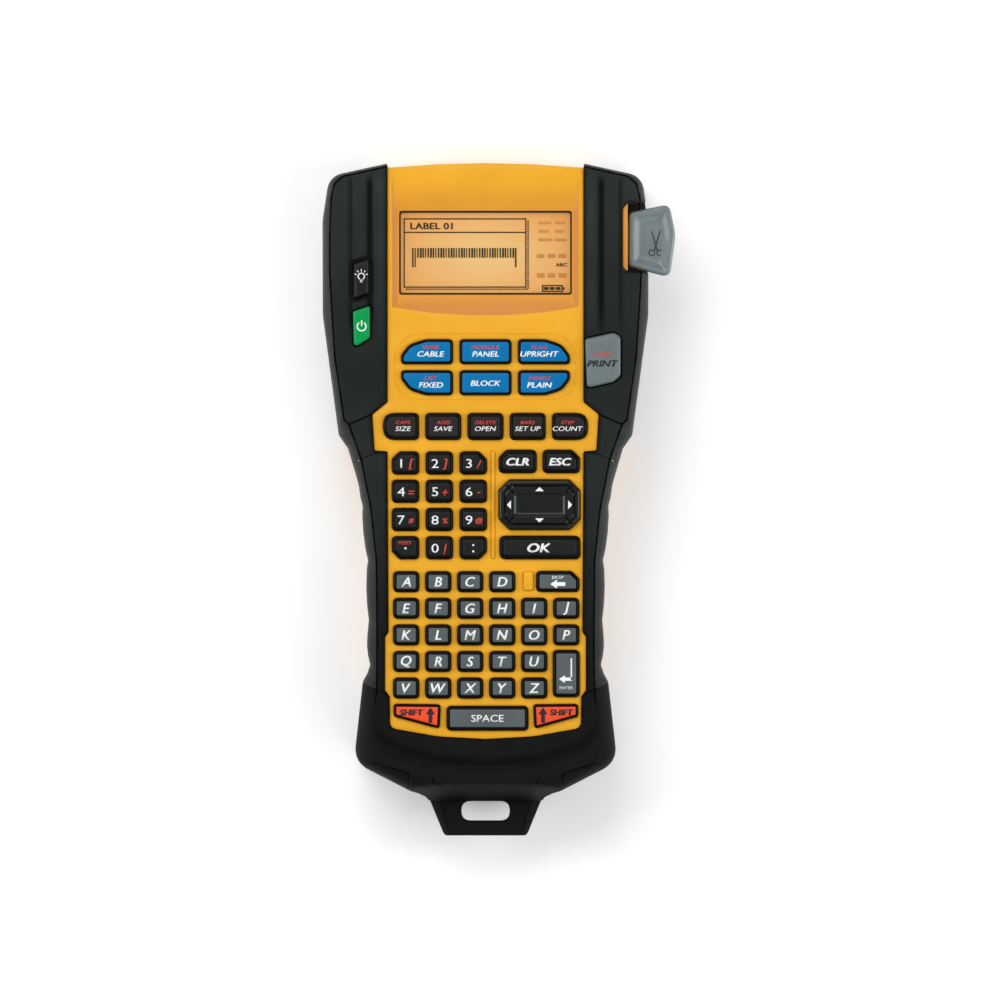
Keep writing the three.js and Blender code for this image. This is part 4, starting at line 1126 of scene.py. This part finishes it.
left_holes = [GUARD_HOLES["power_key"], GUARD_HOLES["backlight_key"]]
right_holes = [GUARD_HOLES["print_key"]]
pocket_lines = [pocket_line(-0.05), pocket_line(0.05), closed_line(WALL_CLEAR)]
recess_line = offset_path(GUARD_HOLES["backlight_key"], -RECESS)
recess_lines = [closed_line(recess_line, d) for d in (0.02, -0.05)]
for sign, holes, name, node, more in (
    (-1, left_holes, "left_upper_rubber", "upper_guard_left", recess_lines),
    (1, right_holes, "right_upper_rubber", "upper_guard_right", pocket_lines),
):
    creases = sided([*SEAM_LINES, *FLUTE_LINES], sign) + seam_paths(upper_seam, sign) + more
    guard(name, upper_region(sign, holes), holes, creases, node)
SOCKET = {"y": 7, "z": 28, "half": 5, "tall": 4}  # the charging socket's opening, and half its size


def cut_out(obj, low, high):
    """Cuts a box-shaped opening, given by its corners in millimetres, through a piece."""
    middle = [(a + b) / 2 * MM for a, b in zip(low, high)]
    bpy.ops.mesh.primitive_cube_add(size=1, location=middle)
    tool = bpy.context.object
    tool.scale = [(b - a) * MM for a, b in zip(low, high)]
    cutter = obj.modifiers.new("opening", "BOOLEAN")
    cutter.operation = "DIFFERENCE"
    cutter.solver = "EXACT"
    cutter.object = tool
    bpy.context.view_layer.update()
    shape = bpy.data.meshes.new_from_object(obj.evaluated_get(bpy.context.evaluated_depsgraph_get()))
    obj.modifiers.clear()
    obj.data = shape
    bpy.data.objects.remove(tool)


cut_out(
    bpy.data.objects["left_upper_rubber"],
    (-70, SOCKET["y"] - SOCKET["half"], SOCKET["z"] - SOCKET["tall"]),
    (-50, SOCKET["y"] + SOCKET["half"], SOCKET["z"] + SOCKET["tall"]),
)
for sign, name, node in ((-1, "left_grip_rubber", "grip_left"), (1, "right_grip_rubber", "grip_right")):
    guard(
        name,
        lambda p, s=sign: (p[:, 0] * s > 36)
        & (p[:, 1] < upper_seam(p[:, 0]) - SEAM_GAP)
        & (p[:, 1] > lower_seam(p[:, 0]) + SEAM_GAP),
        [],
        sided(FACE_LINES, sign) + seam_paths(upper_seam, sign) + seam_paths(lower_seam, sign),
        node,
    )
bumper_lines = [level(y) for y in (-145.4, -147.2, -151.6, TAB_TOP, -153.2, CASE_END)]
guard(
    "bumper_rubber",
    lambda p: (p[:, 1] < lower_seam(p[:, 0]) - SEAM_GAP) & ~inside(p, SLOT),
    [SLOT],
    sided(FACE_LINES, 1)
    + sided(FACE_LINES, -1)
    + seam_paths(lower_seam, 1)
    + seam_paths(lower_seam, -1)
    + [closed_line(HOLLOW), offset_path(HOLLOW, 2.1)]
    + [p for s in (-1, 1) for path in (PAD_LINE, TAB_LINE) for p in sided(groove_paths(path, BUMPER_LINE), s)]
    + bumper_lines,
    "bottom_bumper",
)


def heel_region(points):
    below = (points[:, 1] < -110) & (points[:, 1] > CASE_END)
    return inside(points, OUTER) & below & (distance_to(points, OUTER) > GUARD_WALL)


heel = relief(
    "bumper_heel",
    [OUTER],
    heel_region,
    flat(GRIP_BACK_Z - GAP),
    lambda p: back_height(p[:, 1]),
    [level(-110), level(CASE_END), level(-122), closed_line(OUTER, GUARD_WALL)],
    4.0,
    [],
    [PLAIN_RUBBER],
)
placed(heel, "case", "black_rubber")

# ------------------------------------------------------------------ keypad
mat = layered(
    "keypad_base",
    inset([c for c in mirrored(PLATE_HALF) if c[1] < 34], 3),
    [(0, 45.9, 0), (0, 47.8, 0)],
    [BLACK],
)
placed(mat, "case", "keypad_rubber", "keypad_mat")
RIM = 1.15
ALPHABET = "ABCDEFGHIJKLMNOPQRSTUVWXYZ"
letter_prints, number_prints, symbol_prints = [], [], []
for letter, (_, _, x, y), corners in zip(ALPHABET, grid_places(LETTERS), LETTER_OUTLINES):
    cap = key_cap(f"letter_key_{letter}", corners, KEY_TOP_Z, KEY_GREY, RIM, KEY_BASE_Z)
    placed(cap, "case", "keypad_rubber")
    letter_prints.append(lettering(f"letter_{letter}", letter, x, y, PRINT_Z, 4.0, INK_WHITE, 0.22, 0.13))
placed(joined("letter_legends", letter_prints), "case", "keypad_rubber")
# What each number key prints: a digit or mark in white, and a symbol in red.
DIGITS = ["1[", "2]", "3/", "4=", "5+", "6-", "7#", "8%", "9@", ". ", "0|", ": "]
FEED_KEY = 9
for i, ((_, _, x, y), corners) in enumerate(zip(grid_places(NUMBERS), NUMBER_OUTLINES)):
    cap = key_cap(f"number_key_{i + 1}", corners, KEY_TOP_Z, KEY_BLACK, RIM, KEY_BASE_Z)
    placed(cap, "case", "keypad_rubber")
    digit, symbol = DIGITS[i]
    left = x if symbol == " " else x - 1.7
    size, stretch = (3.7, 1.25) if digit.isdigit() else (5.2, 1.0)
    number_prints.append(
        lettering(f"digit_{i}", digit, left, y - 0.2, PRINT_Z, size, INK_WHITE, 0.0, 0.03, stretch)
    )
    if symbol != " ":
        size = {"#": 2.2, "%": 2.2, "@": 2.0}.get(symbol, 3.4)
        symbol_prints.append(
            lettering(f"symbol_{i}", symbol, x + 2.3, y - 0.5, PRINT_Z, size, INK_RED, 0.2, 0.1)
        )
    if i == FEED_KEY:
        feed = lettering("symbol_feed", "FEED", x - 0.3, y + 2.0, PRINT_Z, 1.4, INK_RED, 0.2, 0.03, 1.2)
        symbol_prints.append(feed)
placed(joined("number_legends", number_prints), "case", "keypad_rubber")
placed(joined("symbol_legends", symbol_prints), "case", "keypad_rubber")


def moving_key(node, corners, face, slot, legends, rim_width):
    """A key that has its own joint, with its print on it."""
    cap = key_cap(f"{node}_cap", corners, KEY_TOP_Z, face, rim_width)
    placed(cap, node, slot, node)
    placed(joined(f"{node}_legend", legends), node, slot)


def arrow(name, x, y, z, size, ink, direction=(-1, 0), shaft=1.0):
    """A printed arrow whose point is half its size from the middle."""
    along = Vector(direction).normalized()
    across = Vector((-along.y, along.x))
    head, half = size * 0.45, size * 0.3
    outline = [(size / 2, 0), (size / 2 - head, half), (size / 2 - head, half * 0.42)]
    outline += [(size / 2 - size * shaft, half * 0.42), (size / 2 - size * shaft, -half * 0.42)]
    outline += [(size / 2 - head, -half * 0.42), (size / 2 - head, -half)]
    points = [(x + along.x * a + across.x * b, y + along.y * a + across.y * b) for a, b in outline]
    return printed(name, polygon(points), z, ink)


def words(node, text, x, y, z, height, ink, **options):
    """A printed word, named after its node."""
    return lettering(f"{node}_{text.lower()}", text, x, y, z, height, ink, **options)


SLANTED = {"shear": 0.2, "stretch": 1.25}
for node, text, height in (("clear_key", "CLR", 3.0), ("escape_key", "ESC", 3.0), ("ok_key", "OK", 3.6)):
    low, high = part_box(node)
    x, y = (low.x + high.x) / 2 / MM, (low.y + high.y) / 2 / MM
    label = words(node, text, x, y - 0.1, PRINT_Z, height, INK_WHITE, weight=0.22, **SLANTED)
    moving_key(node, FACE_KEYS[node], KEY_BLACK, "black_plastic", [label], 1.3)

backspace = [
    arrow("backspace_arrow", 28.9, -65.6, PRINT_Z, 6.0, INK_WHITE),
    words("backspace_key", "BKSP", 28.9, -62.9, PRINT_Z, 1.3, INK_WHITE, stretch=1.2),
]
enter = [
    arrow("enter_arrow", 32.0, -103.6, PRINT_Z, 5.2, INK_WHITE),
    printed("enter_stem", rectangle(34.32, -99.6, 0.55, 8.6, 0), PRINT_Z, INK_WHITE),
    words("enter_key", "ENTER", 32.3, -107.1, PRINT_Z, 1.15, INK_WHITE, stretch=1.15),
]
space = [words("space_key", "SPACE", 0.8, -119.3, PRINT_Z, 2.9, INK_WHITE, weight=0.05, stretch=1.15)]
for node, marks in (("backspace_key", backspace), ("enter_key", enter), ("space_key", space)):
    moving_key(node, FACE_KEYS[node], KEY_GREY, "keypad_grey", marks, RIM)
for node, outline, x, tip_x in (
    ("shift_key_left", SHIFT_LEFT, -29.6, -22.0),
    ("shift_key_right", SHIFT_RIGHT, 30.4, 23.0),
):
    marks = [
        words(node, "SHIFT", x, -116.9, PRINT_Z, 2.3, INK_BLACK, shear=0.1, weight=0.2, stretch=1.12),
        arrow(f"{node}_arrow", tip_x, -118.0, PRINT_Z, 6.2, INK_BLACK, (0, 1)),
    ]
    moving_key(node, outline, RED, "red_plastic", marks, 0.8)

HOT_WORDS = [("WIRE", "CABLE"), ("MODULE", "PANEL"), ("FLAG", "UPRIGHT")]
HOT_WORDS += [("LIST", "FIXED"), ("", "BLOCK"), ("MARKS", "PLAIN")]
for i, (upper, lower) in enumerate(HOT_WORDS):
    node = f"hot_key_{i + 1}"
    column, row = i % 3, i // 3
    x = (column - 1) * HOT["dx"] + (1.6, 0, -1.8)[column]
    y = HOT["rows"][row] - (0.9 if upper else 0.2)
    marks = [words(node, lower, x, y, PRINT_Z, 2.2, INK_WHITE, shear=0.2, weight=0.11, stretch=1.2)]
    if upper:
        marks.append(words(node, upper, x, y + 2.7, PRINT_Z, 1.6, INK_RED, weight=0.05, **SLANTED))
    moving_key(node, MOVING[node], BLUE, "blue_plastic", marks, 0.85)

FUNCTION_WORDS = [("CAPS", "SIZE"), ("ADD", "SAVE"), ("DELETE", "OPEN")]
FUNCTION_WORDS += [("BARS", "SET UP"), ("STEP", "COUNT")]
for i, (upper, lower) in enumerate(FUNCTION_WORDS):
    node = f"function_key_{i + 1}"
    x, y = (i - 2) * FUNCTION["dx"] + (0.9, 0, 0, 0, -0.9)[i], FUNCTION["y"] - 0.9
    marks = [
        words(node, lower, x, y, PRINT_Z, 1.9, INK_WHITE, weight=0.04, **SLANTED),
        words(node, upper, x, y + 2.5, PRINT_Z, 1.45, INK_RED, weight=0.04, **SLANTED),
    ]
    moving_key(node, MOVING[node], KEY_BROWN, "black_plastic", marks, RIM)


def upright(name, outline, low, high, finish):
    """A clockwise outline in X and Z, carried along Y."""
    n = len(outline)
    vertices = [(x, y, z) for y in (low, high) for x, z in outline]
    faces = [tuple(range(n))[::-1], tuple(range(n, 2 * n))]
    faces += [(i, (i + 1) % n, (i + 1) % n + n, i + n) for i in range(n)]
    return finished(name, vertices, faces, [finish])


NAV_FACE = rounded(NAV_OUTLINE, 5)
NAV_DISH_HALF = (10.2, 4.6)
NAV_DISH = rounded(rectangle(NAV["x"], NAV["y"], 2 * NAV_DISH_HALF[0], 2 * NAV_DISH_HALF[1], 1.2), 4)
NAV_FACET_Z = 56.75


def nav_creases():
    """The grooves from the corners of the dish to the corners of the pad."""
    paths = []
    for across, up in ((-1, -1), (-1, 1), (1, -1), (1, 1)):
        start = (NAV["x"] + across * NAV_DISH_HALF[0], NAV["y"] + up * NAV_DISH_HALF[1])
        end = (NAV["x"] + across * 13.1, NAV["y"] + up * 7.6)
        paths.append(line(start, end, step=0.8))
    return paths


def nav_front(points):
    """A raised rim, four flat facets with grooves between them, and a sunk middle."""
    edge = distance_to(points, NAV_FACE)
    height = 57.0 - fall(edge, 0.9)
    height = np.where(edge > 1.9, NAV_FACET_Z, height) - groove(np.abs(edge - 2.2), GROOVE, 0.4)
    for path in nav_creases():
        height = height - groove(distance_to(points, path, closed=False), GROOVE, 0.4)
    sunk = np.where(inside(points, NAV_DISH), smooth(distance_to(points, NAV_DISH), 0, 0.8), 0)
    return height - 0.75 * sunk


nav = relief(
    "navigation_pad",
    [NAV_FACE, NAV_DISH],
    lambda p: inside(p, NAV_FACE),
    nav_front,
    flat(51.0),
    [p for path in nav_creases() for p in groove_paths(path, GROOVE)],
    1.2,
    [(0.2, 0.9), (0.5, 0.9), (0.9, 1.0), (1.75, 1.0), (2.2, 1.0), (2.65, 1.0)],
    [KEY_GLOSS],
)
placed(nav, "navigation_key", "black_plastic", "navigation_key")
marks = []
for i, (dx, dy) in enumerate([(0, 1), (1, 0), (0, -1), (-1, 0)]):
    middle = Vector((NAV["x"] + dx * 12.1, NAV["y"] + dy * 6.1))
    tip = Vector((dx, dy)) * 0.95
    cross = Vector((-dy, dx)) * 1.75
    triangle = polygon([middle + tip, middle - tip * 0.7 + cross, middle - tip * 0.7 - cross])
    marks.append(printed(f"navigation_mark_{i}", triangle, NAV_FACET_Z + PRINT_HALF, INK_WHITE))
placed(joined("navigation_marks", marks), "navigation_key", "black_plastic")

# ------------------------------------------------------------------ keys in the rubber
GUARD_PRINT_Z = GUARD_KEY_TOP_Z + 0.04


def guard_key(node, corners, steps, finish, slot, legends):
    """A key in the rubber. Each step is an inset and a height."""
    layers = [(distance, height, 0) for distance, height in steps]
    cap = layered(f"{node}_cap", corners, [(0, GUARD_KEY_BASE_Z, 0), *layers], [finish])
    placed(cap, node, slot, node)
    placed(joined(f"{node}_legend", legends), node, slot)


power_marks = [
    circle_line("power_ring", -49.5, 37.4, 1.75, 0.5, GUARD_PRINT_Z, INK_WHITE, 125, 290),
    printed("power_stroke", rectangle(-49.5, 38.7, 0.5, 2.3, 0), GUARD_PRINT_Z, INK_WHITE),
]
power_steps = [(0, 56.1), (0.25, 56.7), (0.7, 57.0), (1.6, GUARD_KEY_TOP_Z)]
guard_key("power_key", POWER_KEY, power_steps, GREEN, "green_plastic", power_marks)

BULB = (-49.65, 57.4)
bulb = [circle_line("bulb_glass", *BULB, 1.25, 0.42, GUARD_PRINT_Z, INK_WHITE, -60, 300)]
for i, (down, width) in enumerate(((1.5, 1.2), (2.2, 0.9))):
    foot = rectangle(BULB[0], BULB[1] - down, width, 0.32, 0)
    bulb.append(printed(f"bulb_foot_{i}", foot, GUARD_PRINT_Z, INK_WHITE))
for i in range(5):
    angle = math.radians(18 + 36 * i)
    outward = Vector((math.cos(angle), math.sin(angle)))
    middle = Vector((BULB[0], BULB[1] + 0.1)) + outward * 2.35
    reach = outward * 0.45
    wide = Vector((-reach.y, reach.x)) * 0.35
    ray = [middle + corner for corner in (reach + wide, reach - wide, -reach - wide, wide - reach)]
    bulb.append(printed(f"bulb_ray_{i}", polygon(ray), GUARD_PRINT_Z, INK_WHITE))
backlight_steps = [(0, 55.9), (0.3, 56.6), (0.8, 57.0), (1.4, GUARD_KEY_TOP_Z)]
guard_key("backlight_key", BACKLIGHT_KEY, backlight_steps, KEY_BLACK, "black_plastic", bulb)

print_marks = [
    words(
        "print_key", text, x, y, GUARD_PRINT_Z, height, ink, shear=0.25, weight=weight, stretch=1.25
    )
    for text, x, y, height, ink, weight in (
        ("PRINT", 46.8, 22.6, 2.5, INK_BLACK, 0.14),
        ("COPY", 46.9, 26.2, 1.7, INK_RED, 0.05),
    )
]
print_steps = [(0, 55.9), (0.3, 56.5), (0.9, 56.9), (2.0, 57.06), (3.4, GUARD_KEY_TOP_Z)]
guard_key("print_key", PRINT_KEY, print_steps, GREY, "grey_plastic", print_marks)

# ------------------------------------------------------------------ cutter lever
PADDLE = rounded([(57.4, 83.2, 3), (73.6, 86.5, 3.2), (76.15, 74, 20), (73.8, 57.1, 3.2), (57.2, 61.4, 3)], 8)
PADDLE_FLOOR = 48.9


def paddle_front(points):
    """A shallow dish inside a raised, rounded edge."""
    edge = distance_to(points, PADDLE)
    return PADDLE_FLOOR + 1.65 * (1 - smooth(edge, 0.9, 5.2)) - fall(edge, 1.5)


paddle = relief(
    "lever_paddle",
    [PADDLE],
    lambda p: inside(p, PADDLE),
    paddle_front,
    lambda p: np.minimum(45.5 + fall(distance_to(p, PADDLE), 1.2), 47.2),
    [],
    1.1,
    [(0.15, 0.8), (0.4, 0.8), (0.8, 0.9), (1.4, 1.0), (2.4, 1.1), (3.6, 1.1)],
    [LEVER_GREY],
)
hub_angles = [math.radians(a) for a in range(0, 360, 15)]
hub = [(46 + 3.3 * math.sin(a), 45 + 3.3 * math.cos(a)) for a in hub_angles]
lever_parts = [
    paddle,
    upright("lever_hub", hub, 62.1, 82.9, LEVER_GREY),
    bar("lever_arm", rectangle(52.9, 72.5, 13.6, 12.8, 0.8), 45.9, 48.3, LEVER_GREY),
    upright("lever_crank", [(44.4, 44), (47.6, 44), (47.3, 33.2), (44.7, 33.2)], 79.1, 82.4, LEVER_GREY),
]
placed(joined("lever_body", lever_parts), "cutter_lever", "grey_plastic", "cutter_lever")
SCISSORS = (68.2, 69.6)
mark_z = PADDLE_FLOOR + 0.09
scissors = []
for i, hand in enumerate((-1, 1)):
    x, y = SCISSORS
    ring = circle_line(f"scissors_ring_{i}", x + hand * 1.6, y - 2.6, 1.15, 0.42, mark_z, MARK_GREY)
    blade = [(-0.9, -1.9), (-0.3, -1.6), (2.1, 6.8), (1.3, 5.6)]
    outline = polygon([(x + hand * dx, y + dy) for dx, dy in blade])
    top = mark_z + PRINT_HALF + 0.02 * i
    scissors += [ring, bar(f"scissors_blade_{i}", outline, mark_z - PRINT_HALF, top, MARK_GREY)]
placed(joined("scissors_mark", scissors), "cutter_lever", "grey_plastic")


def coil_spring(name, node, wire, turns, finish):
    """A coil of round wire along X that fills a node's box."""
    low, high = (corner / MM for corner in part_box(node))
    middle = (low + high) / 2
    radius = (high.y - low.y) / 2 - wire
    start, end = low.x + wire, high.x - wire
    sides, steps = 8, turns * 24
    vertices = []
    for i in range(steps + 1):
        angle = 2 * math.pi * turns * i / steps
        outward = Vector((0, math.cos(angle), math.sin(angle)))
        centre = Vector((start + (end - start) * i / steps, middle.y, middle.z)) + outward * radius
        for j in range(sides):
            around = 2 * math.pi * j / sides
            along = Vector((wire * math.sin(around), 0, 0))
            vertices.append(centre + outward * (wire * math.cos(around)) + along)
    faces = [tuple(range(sides)), tuple(range(steps * sides, (steps + 1) * sides))[::-1]]
    for i in range(steps):
        for j in range(sides):
            a, b = i * sides + j, i * sides + (j + 1) % sides
            faces.append((a, a + sides, b + sides, b))
    return finished(name, vertices, faces, [finish])


spring = coil_spring("return_spring", "cutter_return_spring", 0.3, 5, STEEL)
placed(spring, "case", "steel", "cutter_return_spring")
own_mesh(spring)

# ------------------------------------------------------------------ display
nodes = frame["nodes"]


def dressed(node, finish):
    """Gives a CAD node a finish."""
    nodes[node].data.materials.clear()
    nodes[node].data.materials.append(finish)


LCD_Z = 49.0


def mark(name, x0, y0, x1, y1, ink=LCD_INK):
    """A printed rectangle on the display, from one corner to the other."""
    corners = rectangle((x0 + x1) / 2, (y0 + y1) / 2, abs(x1 - x0), abs(y1 - y0), 0)
    return bar(name, corners, LCD_Z, LCD_Z + 0.06, ink)


screen = []
frame_lines = [
    (-32.8, 80.8, 16.4, 80.3),
    (-32.8, 53.5, 16.4, 53.0),
    (-32.8, 80.8, -32.3, 53.0),
    (15.9, 80.8, 16.4, 53.0),
    (-32.8, 75.4, 16.4, 74.9),
]
for i, ends in enumerate(frame_lines):
    screen.append(mark(f"screen_line_{i}", *ends))
for i in range(28):
    screen.append(mark(f"screen_side_dot_{i}", 16.7, 79.7 - i * 0.98, 17.4, 79.1 - i * 0.98))
for i in range(50):
    screen.append(mark(f"screen_foot_dot_{i}", -31.8 + i * 0.98, 52.7, -31.2 + i * 0.98, 52.1))
for row, width in enumerate((5.0, 4.2, 5.6)):
    for column in range(2):
        x, y = 21.2 + column * 6.6, 79.5 - row * 3.4
        right = x + width * (1 - 0.2 * column)
        screen.append(mark(f"screen_idle_{row}_{column}", x, y, right, y - 1.1, LCD_FAINT))
for i in range(3):
    screen.append(mark(f"screen_idle_frame_{i}", 20.6 + i * 4.3, 66.5, 23.6 + i * 4.3, 64.9, LCD_FAINT))
    screen.append(mark(f"screen_idle_foot_{i}", 20.6 + i * 4.3, 58.8, 23.6 + i * 4.3, 57.0, LCD_FAINT))
BAR_WIDTHS = [0.6, 0.45, 0.6, 0.75]
for i in range(41):
    x0 = -29.4 + i * 1.03
    tall = i in (0, 1, 40)
    screen.append(mark(f"screen_bar_{i}", x0, 68.9, x0 + BAR_WIDTHS[i % 4], 61.2 if tall else 65.0))
screen.append(words("screen", "LABEL 01", -21.6, 77.7, LCD_Z + 0.03, 2.6, LCD_INK, weight=0.13, stretch=1.25))
screen.append(words("screen", "ABC", 30.4, 62.2, LCD_Z + 0.03, 1.4, LCD_INK, weight=0.08, stretch=1.2))
battery = [(22.6, 54.1, 31.0, 53.6), (22.6, 51.8, 31.0, 51.3), (22.6, 54.1, 23.1, 51.3)]
battery += [(30.5, 54.1, 31.0, 51.3), (31.0, 53.2, 31.6, 52.2)]
battery += [(23.3 + 2.4 * i, 53.3, 25.3 + 2.4 * i, 52.1) for i in range(3)]
for i, ends in enumerate(battery):
    screen.append(mark(f"screen_battery_{i}", *ends))
placed(joined("screen_print", screen), "case", "display_panel")
BORDER_OUTER = rounded(rectangle(0, DISPLAY_Y, 69.8, 34.4, 1.0), 3)
BORDER_INNER = rounded(rectangle(0, DISPLAY_Y, 67.8, 32.0, 0.8), 3)
border = relief(
    "screen_border",
    [BORDER_OUTER, BORDER_INNER],
    lambda p: inside(p, BORDER_OUTER) & ~inside(p, BORDER_INNER),
    flat(49.4),
    flat(48.95),
    [],
    3.0,
    [],
    [BLACK],
)
placed(border, "case", "black_plastic")
dressed("display_panel", DISPLAY)
dressed("display_window", WINDOW)

# ------------------------------------------------------------------ finishes of the CAD nodes that stay
for finish, names in (
    (YELLOW, ["rear_housing", "cassette_door"]),
    (BLACK, ["battery_door", "battery_pack", "power_jack", "cassette_shell"]),
    (BLACK, ["cutter_carrier", "navigation_post"]),
    (KEY_BLACK, ["ribbon_supply_spool", "ribbon_take_up_spool"]),
    (PLAIN_RUBBER, ["platen_roller"]),
    (IVORY, ["print_head", "idler_gear", "platen_gear", "take_up_gear", "tape_roll"]),
    (BRASS, ["motor_pinion", "battery_contacts"]),
    (BOARD, ["circuit_board"]),
    (STEEL, ["platen_shaft", "chassis_frame", "drive_motor", "cassette_door_pin"]),
    (STEEL, ["cutter_frame", "cutter_blade", "cutter_pivot_pin"]),
):
    for name in names:
        dressed(name, finish)
for name in ("rear_housing", "cassette_door", "battery_door", "cassette_shell"):
    welded = nodes[name].modifiers.new("weld", "WELD")
    welded.merge_threshold = 0.00001
    bevel = nodes[name].modifiers.new("bevel", "BEVEL")
    bevel.width = 0.0004
    bevel.segments = 2
    bevel.limit_method = "ANGLE"
    bevel.angle_limit = math.radians(40)

# ------------------------------------------------------------------ floor, light and camera
scene = bpy.context.scene
floor_material = material("floor", (0.97, 0.97, 0.97), 0.95, (60, 0.01), 0.01, specular=0.1)
bpy.ops.mesh.primitive_plane_add(size=24, location=(0, 0, -0.0002))
floor = bpy.context.object
floor.name = "floor"
floor_shader = floor_material.node_tree.nodes["Principled BSDF"]
floor_shader.inputs["Emission Color"].default_value = (1, 1, 1, 1)
floor_shader.inputs["Emission Strength"].default_value = 0.2
floor.data.materials.append(floor_material)


def lamp(name, place, aim, size, power):
    data = bpy.data.lights.new(name, "AREA")
    data.shape = "RECTANGLE"
    data.size, data.size_y = size
    data.energy = power
    obj = bpy.data.objects.new(name, data)
    obj.location = place
    obj.rotation_euler = (Vector(aim) - Vector(place)).to_track_quat("-Z", "Y").to_euler()
    scene.collection.objects.link(obj)


lamp("key_light", (-0.35, 0.75, 1.3), (0, -0.03, 0.03), (0.9, 0.9), 9.5)
lamp("fill_light", (0.6, -0.7, 1.3), (0, -0.03, 0.03), (0.8, 0.8), 4.2)
lamp("left_strip", (-0.8, 0.0, 0.35), (-0.05, 0, 0.04), (0.25, 1.0), 4)
lamp("right_strip", (0.8, 0.0, 0.35), (0.05, 0, 0.04), (0.25, 1.0), 4)
world = bpy.data.worlds.new("studio")
world.use_nodes = True
world.node_tree.nodes["Background"].inputs["Color"].default_value = (1, 1, 1, 1)
world.node_tree.nodes["Background"].inputs["Strength"].default_value = 0.3
scene.world = world
scene.view_settings.view_transform = "Standard"

camera_data = bpy.data.cameras.new("camera")
camera_data.lens = 450
camera_data.sensor_width = 36
camera = bpy.data.objects.new("camera", camera_data)
camera.location = (0.0058, -0.032, 5.054)
camera.rotation_euler = (0, 0, 0)
camera_data.clip_end = 10
scene.collection.objects.link(camera)
scene.camera = camera
